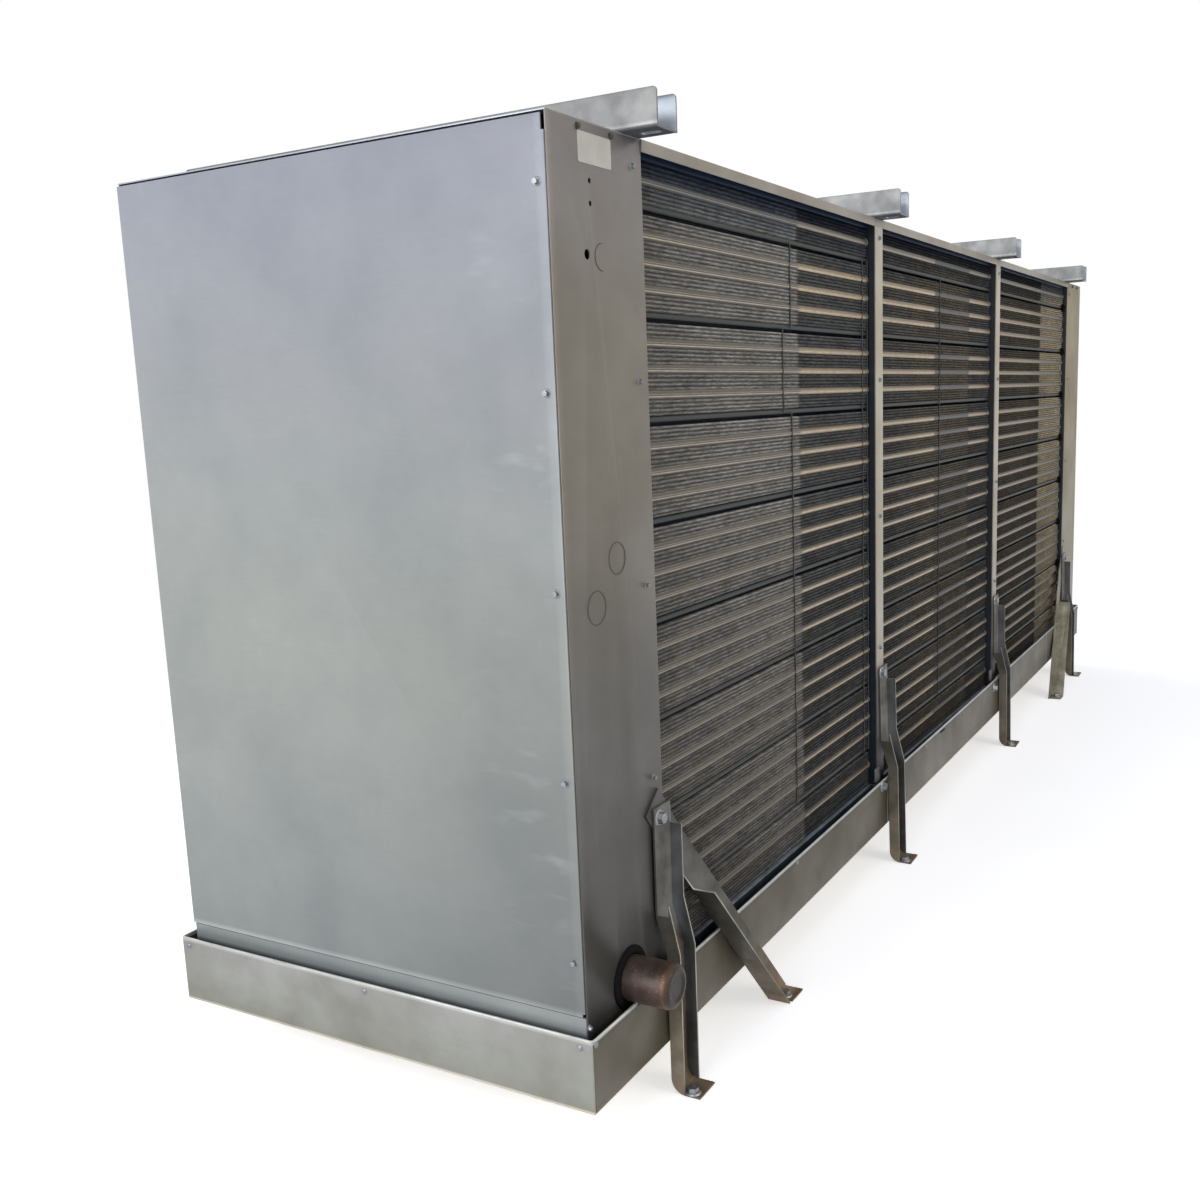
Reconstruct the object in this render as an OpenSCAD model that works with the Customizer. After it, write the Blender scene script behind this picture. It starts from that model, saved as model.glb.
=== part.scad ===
// Ceiling-hung unit cooler: a three-fan, draw-through refrigeration evaporator on its shipping legs.
// X runs along the length, the coil face looks towards -Y, the fans blow towards +Y, and z = 0 is the floor.

/* [Cabinet] */
// Depth of the cabinet from the coil face to the fan face
cabinet_depth = 770; // [700:5:900]
// Height of the roof above the floor
cabinet_top = 1385; // [1300:5:1450]
// Height of the end panel's bottom seam above the floor
seam_z = 211; // [200:1:230]
// Width of each closed header compartment
end_w = 235; // [180:1:300]
// Clear width of one coil bay
bay_w = 978; // [800:1:1200]
// Width of the strips between the bays
mullion_w = 45; // [30:1:60]
// Thickness of the cabinet sheets
sheet = 2; // [1.5:0.5:3]
// Height of the roof's turned-down edge
roof_lip = 17; // [8:1:30]

/* [Coil] */
// Height pitch of the tubes
tube_pitch = 36.9; // [31:0.1:40]
// Tube rows in the height of the coil
coil_rows = 31; // [28:1:31]
// Drop from the roof to the top row of tubes
first_row_drop = 43.5; // [30:0.5:50]
// Depth of the coil along the air flow
coil_depth = 264; // [198:1:330]
// Set-back of the fins behind the coil face
coil_setback = 14; // [8:1:50]

/* [Drain pan] */
// Depth of the pan
pan_h = 108; // [80:1:130]
// How far the pan stands out past the cabinet
pan_reach = 17; // [10:1:25]
// Height of the pan's rim over the floor at its low end
pan_rim_z = 186; // [180:1:190]
// Fall of the pan towards the drain, in millimetres for each metre
pan_fall = 10.4; // [0:0.1:12]
// Thickness of the pan's sheet
pan_t = 2; // [1.5:0.5:3]

/* [Fans] */
// Diameter of a fan over its blade tips
fan_d = 762; // [600:2:780]
// Blades of a fan
blade_count = 5; // [3:1:7]
// How far a fan ring stands out from the fan face
ring_reach = 62; // [40:1:70]

/* [Hanger rails] */
// Width of a hanger rail
rail_w = 57; // [50:1:80]
// Height of a hanger rail
rail_h = 51; // [40:1:60]
// How far a rail reaches past the cabinet on each side
rail_reach = 56; // [50:1:65]
// Thickness of the rails, legs and braces
plate = 3; // [2.5:0.5:4]
// Length of a hanging slot
slot_l = 32; // [24:1:40]
// Width of a hanging slot
slot_w = 14; // [12:1:18]

/* [Legs] */
// Width of a leg's web
leg_w = 51; // [45:1:60]
// Depth of a leg's flanges
leg_flange = 22; // [18:1:26]
// Height of a leg's bolt over the floor
leg_bolt_z = 429; // [400:1:460]
// Reach of a foot past the coil face
foot_reach = 68; // [60:1:75]
// Width of a brace
brace_w = 51; // [45:1:60]
// Depth of a brace's flange
brace_flange = 40; // [30:1:45]
// Run of a brace along the cabinet, from its bolt to its foot
brace_run = 345; // [300:5:400]

/* [Hidden] */
$fn = 64;

bays = 3;
length = 2 * end_w + bays * bay_w + (bays - 1) * mullion_w;
end_x = length / 2;
coil_x0 = -end_x + end_w;
coil_length = length - 2 * end_w;
face_y = -cabinet_depth / 2;
back_y = cabinet_depth / 2;
// The roof lies on the walls, a little above the end panels
roof_z = cabinet_top + 3;
roof_top = roof_z + sheet;

// Middle of bay n, counted from 0 at the low-X end
function bay_x(n) = coil_x0 + bay_w / 2 + n * (bay_w + mullion_w);
// Low-X edge of mullion n
function mullion_x(n) = coil_x0 + bay_w + n * (bay_w + mullion_w);

// Coil: the walls hang down into the pan as far as the skirt bottom
skirt_bottom = 150;
fin_front = face_y + coil_setback;
// The tubes are staggered, so the front rows sit a quarter of a pitch low in the fins
fin_top = cabinet_top - first_row_drop + 0.75 * tube_pitch;
fin_bottom = fin_top - (coil_rows + 1) * tube_pitch;
fin_gap = 2;
heater_first_row = 1;
heater_row_step = 4;
heater_groove = 12;
bottom_rail_back = 8;

// End panels
panel_gap = 2;
panel_notch_w = 4;
panel_notch_low = 5;
panel_notch_high = 20;

// Suction connection
stub_d = 66.7;
stub_x = -end_x + 118;
stub_z = 219;
stub_reach = 78;
stub_inside = 120;
stub_dome = 12;
grommet_t = 6;
grommet_rim = 13;
// The tube is necked down by this much where it passes through the grommet
stub_neck_d = stub_d - 1.2;
neck_clear = 4;

// Drain connection, a pipe nipple under the pan's low end
drain_x = -end_x + 150;
drain_y = 120;
drain_d = 48.3;
drain_bore = 40.9;
drain_drop = 45;
drain_neck_d = drain_d - 1;

// Fans
ring_t = 3;
ring_d = fan_d + 16;
ring_inside = 60;
ring_flange = 30;
fan_z = (cabinet_top + skirt_bottom) / 2;
hub_d = 150;
hub_l = 56;
hub_back = 20;
blade_chord = 150;
blade_pitch = 28;
motor_d = 190;
motor_l = 230;
bar_h = 30;
bar_t = 6;
bar_back = 140;
bar_spread = 60;

// Hanger rails: each one stands a little to the low-X side of its leg
rail_shift = 11;
slot_from_end = 26;
rail_corner_r = 6;

// Legs: the webs stand over the covers and mullions, and step out past the pan
leg_inset = 221;
leg_on_mullion = 37;
leg_xs = [
    -end_x + leg_inset, mullion_x(0) + leg_on_mullion, mullion_x(1) + leg_on_mullion, end_x - leg_inset
];
leg_top = leg_bolt_z + 19;
leg_flange_top = leg_bolt_z - 15;
step_top = 284;
step_bottom = 225;
web_out = 2 * plate;
web_step = pan_reach + 2 * plate;
heel_r = 24;
flange_rise = 16;
// Each leg hangs from one bolt, and all but the first have swung a little along the unit
leg_leans = [0, 3.4, 3.4, 3.4];

// Braces: flat behind the leg's bolt, then leaning out past the pan
brace_run_l = sqrt(brace_run * brace_run + leg_bolt_z * leg_bolt_z);
brace_tilt = atan(brace_run / leg_bolt_z);
brace_head = 38;
brace_kink = 60;
brace_notch = 165;
brace_out = 35;
brace_tab = [48, 40];

// Brackets that hold the pan
bracket_w = 36;
bracket_h = 26;
bracket_drop = 6;

module box(x, y, z, w, d, h) {
    translate([x, y, z]) cube([w, d, h]);
}

// A round bar or bore along Y, from y to y + l
module y_rod(x, y, z, d, l) {
    translate([x, y, z]) rotate([-90, 0, 0]) cylinder(d = d, h = l);
}

// ---------- Cabinet ----------
module roof_panel() {
    color("#b4bbbe") {
        box(-end_x, face_y, roof_z, length, cabinet_depth, sheet);
        for (y = [face_y - sheet, back_y])
            box(coil_x0, y, roof_top - roof_lip, coil_length, sheet, roof_lip);
    }
}

// Its coil-side edge stops short of the cover, and is notched at both corners
module end_panel(side) {
    x = side * (end_x + plate / 2) - plate / 2;
    color("#aab6bd") difference() {
        box(x, face_y + panel_gap, seam_z, plate, cabinet_depth - panel_gap, cabinet_top - seam_z);
        for (n = [[seam_z - 1, panel_notch_low], [cabinet_top - panel_notch_high, panel_notch_high]])
            box(x - 1, face_y, n[0], plate + 2, panel_gap + panel_notch_w, n[1] + 1);
    }
}

// A folded sheet that closes one side of a header compartment
module header_cover(x, y) {
    box(x, y, skirt_bottom, end_w, sheet, roof_z - skirt_bottom);
}

// The low-X cover of the coil side, with its wiring holes and the hole of the suction stub
module header_cover_left() {
    wiring_holes = [[97, 67, 7], [97, 95, 7], [84, 159, 13]];
    color("#8c8a84") difference() {
        header_cover(-end_x, face_y);
        for (h = wiring_holes) y_rod(h[0] - end_x, face_y - 1, cabinet_top - h[1], h[2], sheet + 2);
        y_rod(stub_x, face_y - 1, stub_z, stub_d + grommet_rim, sheet + 2);
    }
}

module fan_side_cover(x) {
    color("#a3adb3") header_cover(x, back_y - sheet);
}

module tube_sheet(x) {
    color("#4a5056")
        box(x, face_y + sheet, skirt_bottom, plate, cabinet_depth - 2 * sheet, roof_z - skirt_bottom);
}

// Two plates that carry the tubes between neighbouring bays and part the fan bays
module tube_support(n) {
    color("#4a5056") for (x = [mullion_x(n), mullion_x(n) + mullion_w - plate])
        box(x, face_y, fin_bottom, plate, cabinet_depth - sheet, roof_z - fin_bottom);
}

module mullion(n) {
    color("#a39e92")
        box(mullion_x(n), face_y - plate, skirt_bottom, mullion_w, plate, roof_top - roof_lip - skirt_bottom);
}

module coil_top_rail() {
    color("#3a4047") for (n = [0:bays - 1])
        box(bay_x(n) - bay_w / 2, fin_front, fin_top, bay_w, coil_depth, roof_z - fin_top);
}

// The rails under the coil and the skirts under the end panels
module base_frame() {
    color("#9aa0a2") {
        for (x = [-end_x, end_x - plate])
            box(x, face_y + sheet, skirt_bottom, plate, cabinet_depth - 2 * sheet, seam_z - skirt_bottom);
        box(coil_x0, face_y + bottom_rail_back, skirt_bottom, coil_length,
            coil_depth + coil_setback - bottom_rail_back, fin_bottom - skirt_bottom);
        for (n = [0:bays - 2])
            box(mullion_x(n), face_y, skirt_bottom, mullion_w, bottom_rail_back, fin_bottom - skirt_bottom);
    }
}

// ---------- Coil ----------
// A block of fins, grooved across its front for the defrost heaters
module fin_pack(n) {
    x = bay_x(n) - bay_w / 2 + fin_gap;
    w = bay_w - 2 * fin_gap;
    color("#8d8878") difference() {
        box(x, fin_front, fin_bottom, w, coil_depth, fin_top - fin_bottom);
        for (row = [heater_first_row:heater_row_step:coil_rows - 1])
            box(x - 1, fin_front - 1, cabinet_top - first_row_drop - row * tube_pitch - heater_groove / 2,
                w + 2, heater_groove + 1, heater_groove);
    }
}

module suction_stub() {
    r = stub_d / 2;
    color("#6b4a3a") translate([stub_x, face_y - stub_reach, stub_z]) rotate([-90, 0, 0]) rotate_extrude() {
        square([r - stub_dome, stub_reach]);
        translate([0, stub_dome]) square([r, stub_reach - grommet_t - neck_clear - stub_dome]);
        translate([0, stub_dome]) square([stub_neck_d / 2, stub_reach + stub_inside - stub_dome]);
        intersection() {
            translate([r - stub_dome, stub_dome]) circle(r = stub_dome);
            square([r, stub_dome]);
        }
    }
}

module stub_grommet() {
    color("#1d1d1e") difference() {
        y_rod(stub_x, face_y - grommet_t, stub_z, stub_d + 2 * grommet_rim, grommet_t);
        y_rod(stub_x, face_y - grommet_t - 1, stub_z, stub_neck_d, grommet_t + 2);
    }
}

// ---------- Drain pan ----------
pan_x = end_x + pan_reach;
pan_w = cabinet_depth + 2 * pan_reach;

// Height of the pan's rim at x: it falls towards the low-X end
function rim_at(x) = pan_rim_z + (x + pan_x) * pan_fall / 1000;

// A block with level ends and sloping top and bottom, from x0 to x1
module sloping_block(x0, x1, w, top, bottom) {
    translate([0, w / 2, 0]) rotate([90, 0, 0]) linear_extrude(w)
        polygon([
            [x0, rim_at(x0) + bottom], [x1, rim_at(x1) + bottom],
            [x1, rim_at(x1) + top], [x0, rim_at(x0) + top]
        ]);
}

module drain_pan() {
    color("#8f8d86") difference() {
        sloping_block(-pan_x, pan_x, pan_w, 0, -pan_h);
        sloping_block(pan_t - pan_x, pan_x - pan_t, pan_w - 2 * pan_t, 1, pan_t - pan_h);
        translate([drain_x, drain_y, rim_at(drain_x) - pan_h - 5]) cylinder(d = drain_d, h = 10);
        y_rod(stub_x, -pan_w / 2 - 1, stub_z, stub_d + 2 * neck_clear, pan_t + 2);
    }
}

module drain_outlet() {
    collar_r = 35;
    collar_h = 8;
    under = rim_at(drain_x - collar_r) - pan_h;
    color("#8a7d5f") translate([drain_x, drain_y, under]) difference() {
        union() {
            translate([0, 0, -drain_drop]) cylinder(d = drain_d, h = drain_drop - collar_h - neck_clear);
            translate([0, 0, -drain_drop]) cylinder(d = drain_neck_d, h = drain_drop + pan_t + 1);
            translate([0, 0, -collar_h]) cylinder(r = collar_r, h = collar_h);
        }
        translate([0, 0, -drain_drop - 1]) cylinder(d = drain_bore, h = drain_drop + 10);
    }
}

module pan_brackets() {
    color("#8d9092") for (n = [0:len(leg_xs) - 1]) for (s = [0, 1]) {
        off = n == 0 || n == len(leg_xs) - 1 ? 0 : plate;
        mirror([0, s, 0])
            box(leg_xs[n] - bracket_w / 2, face_y - pan_reach + pan_t, skirt_bottom - bracket_drop,
                bracket_w, pan_reach - pan_t - off, bracket_h);
    }
}

// ---------- Fan side ----------
module fan_panel() {
    color("#a9b2b6") {
        difference() {
            box(coil_x0, back_y - sheet, skirt_bottom, coil_length, sheet, roof_z - skirt_bottom);
            for (n = [0:bays - 1]) y_rod(bay_x(n), back_y - sheet - 1, fan_z, ring_d, sheet + 2);
        }
        for (n = [0:bays - 2])
            box(mullion_x(n), back_y, skirt_bottom, mullion_w, plate, roof_top - roof_lip - skirt_bottom);
    }
}

module fan_ring(n) {
    color("#b3b9bb") difference() {
        union() {
            y_rod(bay_x(n), back_y - ring_inside, fan_z, ring_d, ring_inside + ring_reach);
            y_rod(bay_x(n), back_y, fan_z, ring_d + 2 * ring_flange, ring_t);
        }
        y_rod(bay_x(n), back_y - ring_inside - 1, fan_z, ring_d - 2 * ring_t, ring_inside + ring_reach + 2);
    }
}

module fan(n) {
    blade_root = hub_d / 2 - 12;
    blade_l = fan_d / 2 - blade_root - 4;
    color("#9ca1a3") {
        y_rod(bay_x(n), back_y - hub_back, fan_z, hub_d, hub_l);
        translate([bay_x(n), back_y - hub_back + hub_l / 2, fan_z]) rotate([-90, 0, 0])
            for (k = [0:blade_count - 1]) rotate([0, 0, k * 360 / blade_count]) translate([blade_root, 0, 0])
                rotate([blade_pitch, 0, 0]) box(0, -blade_chord / 2, -plate / 2, blade_l, blade_chord, plate);
    }
}

module motor(n) {
    color("#3c4146") {
        y_rod(bay_x(n), back_y - hub_back - motor_l, fan_z, motor_d, motor_l);
        for (z = [-bar_spread, bar_spread])
            box(bay_x(n) - bay_w / 2, back_y - bar_back, fan_z + z - bar_h / 2, bay_w, bar_t, bar_h);
    }
}

// ---------- Hanger rails ----------
module rail_slot() {
    straight = slot_l - slot_w;
    for (s = [-straight / 2, straight / 2]) translate([0, s, -1]) cylinder(d = slot_w, h = plate + 2);
    box(-slot_w / 2, -straight / 2, -1, slot_w, straight, plate + 2);
}

// What is cut off a rail's upper corner to round it
module rail_corner() {
    rotate([90, 0, 90]) linear_extrude(rail_w + 2) difference() {
        translate([-1, -rail_corner_r]) square(rail_corner_r + 1);
        translate([rail_corner_r, -rail_corner_r]) circle(r = rail_corner_r);
    }
}

module hanger_rail(n) {
    l = cabinet_depth + 2 * rail_reach;
    color("#b9c0c2") translate([leg_xs[n] - rail_shift - rail_w / 2, -l / 2, roof_top]) difference() {
        cube([rail_w, l, rail_h]);
        box(plate, -1, plate, rail_w - 2 * plate, l + 2, rail_h);
        for (y = [slot_from_end, l - slot_from_end]) translate([rail_w / 2, y, 0]) rail_slot();
        translate([-1, 0, rail_h]) rail_corner();
        translate([-1, l, rail_h]) mirror([0, 1, 0]) rail_corner();
    }
}

// ---------- Legs ----------
// Outline of a bent strip from y0 to y1 outside the face, with y measured outwards.
// Its outer bend stands higher than its inner one by rise.
module leg_strip(y0, y1, top, rise) {
    s = web_step - web_out;
    polygon([
        [y0, top], [y1, top], [y1, step_top + rise], [y1 + s, step_bottom], [y1 + s, 0],
        [y0 + s, 0], [y0 + s, step_bottom], [y0, step_top]
    ]);
}

// What the rounded heel takes off the foot of a strip
module heel_cut() {
    s = web_step - plate;
    difference() {
        translate([s - 5, -1]) square([heel_r + 5, heel_r + 1]);
        translate([s + heel_r, heel_r]) circle(r = heel_r);
    }
}

module leg_web() {
    toe = web_step - plate + heel_r;
    difference() {
        leg_strip(plate, web_out, leg_top, 0);
        heel_cut();
        translate([0, -1]) square([toe, heel_r + 1]);
    }
    intersection() {
        translate([toe, heel_r]) difference() {
            circle(r = heel_r);
            circle(r = heel_r - plate);
        }
        square([toe, heel_r]);
    }
    translate([toe, 0]) square([foot_reach - toe, plate]);
}

module leg_flange_side(top, rise) {
    linear_extrude(plate) difference() {
        leg_strip(plate, web_out + leg_flange - plate, top, rise);
        heel_cut();
    }
}

// Leg n on the coil side, swung about its bolt and lifted so that it stands on the foot's lower corner
module leg(n) {
    lean = leg_leans[n];
    lift = leg_bolt_z * (cos(lean) - 1) + leg_w / 2 * sin(lean);
    color("#5d6060") translate([leg_xs[n], face_y, leg_bolt_z + lift]) rotate([0, -lean, 0])
        translate([leg_w / 2, 0, -leg_bolt_z]) rotate([90, 0, -90]) {
            linear_extrude(leg_w) leg_web();
            leg_flange_side(leg_flange_top, flange_rise);
            translate([0, 0, leg_w - plate]) leg_flange_side(step_top, flange_rise);
        }
}

module fan_side_legs() {
    mirror([0, 1, 0]) for (n = [0:len(leg_xs) - 1]) leg(n);
}

// ---------- Braces ----------
// Distance of a brace's inner face from the cabinet, s along the brace below its bolt
function brace_y(s) = s < brace_kink ? 0 : (s - brace_kink) * brace_out / (brace_run_l - brace_kink);

// The low-X brace of the coil side: its bar stands in a frame of along, outwards and across
module brace() {
    end = brace_run_l + 40;
    translate([leg_xs[0], face_y, leg_bolt_z]) intersection() {
        rotate([180, 90 - brace_tilt, 0]) {
            translate([0, 0, -brace_w / 2]) linear_extrude(brace_w) polygon([
                [-brace_head, 0], [brace_kink, 0], [end, brace_y(end)],
                [end, brace_y(end) + plate], [brace_kink, plate], [-brace_head, plate]
            ]);
            translate([0, 0, brace_w / 2 - plate]) linear_extrude(plate) polygon([
                [brace_notch, brace_y(brace_notch)], [end, brace_y(end)],
                [end, brace_y(end) + brace_flange], [brace_notch, brace_y(brace_notch) + brace_flange]
            ]);
        }
        translate([-100, -200, -leg_bolt_z]) cube([600, 250, 2 * leg_bolt_z]);
    }
    box(leg_xs[0] + brace_run - brace_tab[0] / 2, face_y - brace_out - brace_tab[1], 0,
        brace_tab[0], brace_tab[1], plate);
}

module braces_coil_side() {
    color("#5f6160") for (s = [0, 1]) mirror([s, 0, 0]) brace();
}

// ---------- Assembly ----------
roof_panel();
end_panel(-1);  // end_panel_left
end_panel(1);  // end_panel_right
header_cover_left();
color("#9a968c") header_cover(end_x - end_w, face_y);  // header_cover_right
fan_side_cover(-end_x);  // fan_side_cover_left
fan_side_cover(end_x - end_w);  // fan_side_cover_right
tube_sheet(coil_x0 - plate);  // tube_sheet_left
tube_sheet(-coil_x0);  // tube_sheet_right
tube_support(0);  // tube_support_1
tube_support(1);  // tube_support_2
mullion(0);  // mullion_1
mullion(1);  // mullion_2
coil_top_rail();
base_frame();
fin_pack(0);  // fin_pack_1
fin_pack(1);  // fin_pack_2
fin_pack(2);  // fin_pack_3
suction_stub();
stub_grommet();
drain_pan();
drain_outlet();
pan_brackets();
fan_panel();
fan_ring(0);  // fan_ring_1
fan_ring(1);  // fan_ring_2
fan_ring(2);  // fan_ring_3
fan(0);  // fan_1
fan(1);  // fan_2
fan(2);  // fan_3
motor(0);  // motor_1
motor(1);  // motor_2
motor(2);  // motor_3
hanger_rail(0);  // hanger_rail_1
hanger_rail(1);  // hanger_rail_2
hanger_rail(2);  // hanger_rail_3
hanger_rail(3);  // hanger_rail_4
leg(0);  // leg_1
leg(1);  // leg_2
leg(2);  // leg_3
leg(3);  // leg_4
fan_side_legs();
braces_coil_side();
mirror([0, 1, 0]) braces_coil_side();  // braces_fan_side
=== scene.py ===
# Unit cooler on its shipping legs: finishes, coil detail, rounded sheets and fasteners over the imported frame
import math

import bmesh
import bpy
from mathutils import Euler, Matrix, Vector


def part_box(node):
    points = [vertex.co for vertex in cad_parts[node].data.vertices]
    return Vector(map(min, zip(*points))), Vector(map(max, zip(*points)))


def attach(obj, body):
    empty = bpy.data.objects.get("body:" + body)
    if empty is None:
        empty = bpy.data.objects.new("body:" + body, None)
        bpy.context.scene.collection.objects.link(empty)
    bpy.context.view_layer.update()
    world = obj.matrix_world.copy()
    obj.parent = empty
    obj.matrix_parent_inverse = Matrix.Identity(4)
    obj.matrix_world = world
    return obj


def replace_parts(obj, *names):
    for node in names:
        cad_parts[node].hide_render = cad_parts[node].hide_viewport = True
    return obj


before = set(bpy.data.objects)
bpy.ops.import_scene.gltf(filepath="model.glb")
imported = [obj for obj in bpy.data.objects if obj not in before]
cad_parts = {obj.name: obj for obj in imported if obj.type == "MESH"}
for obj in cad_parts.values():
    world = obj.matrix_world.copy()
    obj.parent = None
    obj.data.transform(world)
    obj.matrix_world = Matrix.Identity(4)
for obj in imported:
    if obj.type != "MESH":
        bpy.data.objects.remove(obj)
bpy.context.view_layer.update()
mm = 0.001
bays = (1, 2, 3)


def linear(hexColour):
    parts = [int(hexColour[i:i + 2], 16) / 255 for i in (1, 3, 5)]
    return tuple(c / 12.92 if c <= 0.04045 else ((c + 0.055) / 1.055) ** 2.4 for c in parts) + (1.0,)


# Adds a node and gives one of its outputs, or the node itself where output is None. A kind without "Node" is a
# shader node. inputs is a tuple in socket order, with None for a default, or a dictionary; a list in it is
# several links into one socket. stops is a colour ramp's {place: hex colour}.
def addNode(tree, kind, inputs=(), output=0, stops=None, **settings):
    node = tree.nodes.new(kind if "Node" in kind else "ShaderNode" + kind)
    for key, value in settings.items():
        setattr(node, key, value)
    if stops:
        elements = node.color_ramp.elements
        while len(elements) > 1:
            elements.remove(elements[0])
        (first, firstColour), *others = stops.items()
        elements[0].position, elements[0].color = first, linear(firstColour)
        for stop, colour in others:
            elements.new(stop).color = linear(colour)
    for key, value in inputs.items() if isinstance(inputs, dict) else enumerate(inputs):
        for source in value if isinstance(value, list) else [value]:
            if isinstance(source, bpy.types.NodeSocket):
                tree.links.new(source, node.inputs[key])
            elif source is not None:
                node.inputs[key].default_value = source
    return node.outputs[output] if node.outputs and output is not None else node


# Works through sums in turn on a first number, each (operation, other numbers)
def reckon(tree, number, *sums):
    for operation, *others in sums:
        number = addNode(tree, "Math", (number, *others), operation=operation)
    return number


def newMaterial(name):
    mat = bpy.data.materials.new(name)
    mat.use_nodes = True
    mat.node_tree.nodes.clear()
    return mat, mat.node_tree, addNode(mat.node_tree, "TexCoord", output="Object")


# A ramp along a line: line is (direction, start, end), measured on the object
def lineRamp(tree, place, line, stops):
    along = addNode(tree, "VectorMath", (place, line[0]), "Value", operation="DOT_PRODUCT")
    return addNode(tree, "ValToRGB", (addNode(tree, "MapRange", (along, line[1], line[2])),), stops=stops)


# Multiplies a colour by each tint in turn, a tint being (colour, share)
def tinted(tree, colour, *tints):
    for tint, share in tints:
        colour = addNode(tree, "Mix", {0: share, 6: colour, 7: tint}, 2, data_type="RGBA",
                         blend_type="MULTIPLY")
    return colour


# Brightens or darkens a colour by each level in turn
def levelled(tree, colour, *levels):
    for level in levels:
        colour = addNode(tree, "VectorMath", {0: colour, "Scale": level}, operation="SCALE")
    return colour


# Noise drawn out or squeezed along each axis by its own scale
def drawnNoise(tree, place, scale, look, turn=(0.0, 0.0, 0.0)):
    drawn = addNode(tree, "Mapping", {"Vector": place, "Rotation": turn, "Scale": scale})
    return addNode(tree, "TexNoise", {"Vector": drawn, "Scale": 1.0, **look})


# Ends a material with its surface and its bumps, each bump being (height, depth, strength)
def closeMaterial(tree, surface, *bumps):
    normal = {}
    for height, depth, strength in bumps:
        bump = {"Height": height, "Distance": depth, "Strength": strength}
        normal = {"Normal": addNode(tree, "Bump", {**bump, **normal})}
    addNode(tree, "OutputMaterial", {"Surface": addNode(tree, "BsdfPrincipled", {**surface, **normal})})


# Hot-dip galvanised sheet: a soft metal sheen with cloudy zinc patches, a faint spangle, rolling grain and
# dull marks. "line" and "grade" give its tone along one direction, "side" and "sideGrade" along another;
# on most sheets below these tones are painted light and shade.
def galvanised(name, look):
    mat, tree, place = newMaterial(name)
    cloud = addNode(tree, "TexNoise", {
        "Vector": place, "Scale": 1 / look["cloud"], "Detail": 4.0, "Roughness": 0.55})
    tone = lineRamp(tree, place, look["line"], look["grade"])
    if "side" in look:
        tone = tinted(tree, tone, (lineRamp(tree, place, look["side"], look["sideGrade"]), 1.0))
    tone = tinted(tree, tone, (linear(look["patch"]), addNode(tree, "MapRange", (cloud, 0.38, 0.68))))
    cells = addNode(tree, "TexVoronoi", {"Vector": place, "Scale": 1 / look["spangle"]}, "Color")
    rolled = drawnNoise(tree, place, look["grain"], {"Detail": 3.0, "Roughness": 0.65})
    fleck, streak = look["spangleDepth"], look["grainDepth"]
    tone = levelled(tree, tone, addNode(tree, "MapRange", (cells, None, None, 1 - fleck, 1 + fleck)),
                    addNode(tree, "MapRange", (rolled, 0.3, 0.7, 1 - streak, 1 + streak)))
    run = drawnNoise(tree, place, look["runs"], {"Detail": 3.0, "Roughness": 0.6})
    marks = [(addNode(tree, "MapRange", (run, 0.55, 0.8, 0.0, look["runDepth"])), look["runColour"])]
    if "smudge" in look:  # pale hand marks within a part of the sheet, in short slanting strokes
        smudge = look["smudge"]
        slant = (math.radians(smudge["slant"]), 0.0, 0.0)
        stroke = drawnNoise(tree, place, smudge["scale"], {"Detail": 2.0}, slant)
        spread = addNode(tree, "TexNoise", {"Vector": place, "Scale": smudge["spread"], "Detail": 1.0})
        marks.append((reckon(tree, addNode(tree, "MapRange", (stroke, 0.56, 0.72)),
                             ("MULTIPLY", addNode(tree, "MapRange", (spread, 0.5, 0.62))),
                             ("MULTIPLY", lineRamp(tree, place, smudge["line"], smudge["window"])),
                             ("MULTIPLY", smudge["depth"])), smudge["colour"]))
    for share, colour in marks:
        tone = addNode(tree, "Mix", {0: share, 6: tone, 7: linear(colour)}, 2, data_type="RGBA")
    rough = addNode(tree, "MapRange", (cloud, 0.3, 0.7, look["rough"] - 0.05, look["rough"] + 0.08))
    wave = addNode(tree, "TexNoise", {"Vector": place, "Scale": 1 / look["wave"], "Detail": 1.0})
    closeMaterial(tree, {"Base Color": tone, "Metallic": look["metal"], "Roughness": rough},
                  (rolled, 0.02 * mm, 0.5), (wave, look["waveDepth"], 1.0))
    return mat


endLow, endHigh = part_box("end_panel_left")
coverLow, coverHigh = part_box("header_cover_left")
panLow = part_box("drain_pan")[0]
pan = {"fall": 0.0104, "depth": 108 * mm, "insideX": 1.7615, "insideY": 0.3995, "facesDown": -0.5}


# Height of the pan's rim, which falls towards the low-X end
def rimAt(x):
    return panLow.z + pan["depth"] + (x - panLow.x) * pan["fall"]


upright, lengthwise, inwards = (0.0, 0.0, 1.0), (1.0, 0.0, 0.0), (0.0, 1.0, 0.0)
wallLine = (upright, coverLow.z, endHigh.z)
coilLine = (upright, coverLow.z, 1.38)
legLine = (upright, 0.0, 0.45)
railLine = (upright, 1.39, 1.441)
panLine = ((-pan["fall"], 0.0, 1.0), rimAt(0.0) - pan["depth"], rimAt(0.0))  # square to the sloping rim
sheetZinc = {"cloud": 0.22, "patch": "#eceef0", "spangle": 14 * mm, "spangleDepth": 0.015, "runDepth": 0.06,
             "runColour": "#8b9296", "runs": (26.0, 26.0, 2.4), "grain": (12.0, 12.0, 420.0),
             "grainDepth": 0.02, "rough": 0.42, "metal": 0.35, "wave": 0.35, "waveDepth": 0.8 * mm}
panZinc = {**sheetZinc, "line": panLine, "cloud": 0.12, "patch": "#dcdad4", "runs": (3.0, 3.0, 26.0),
           "grain": (9.0, 9.0, 300.0)}
plateZinc = {**sheetZinc, "line": legLine, "cloud": 0.05, "patch": "#b9b7b0", "spangle": 11 * mm,
             "spangleDepth": 0.06, "runDepth": 0.4, "grain": (60.0, 60.0, 9.0), "grainDepth": 0.05,
             "rough": 0.48, "waveDepth": 0.5 * mm}
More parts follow.
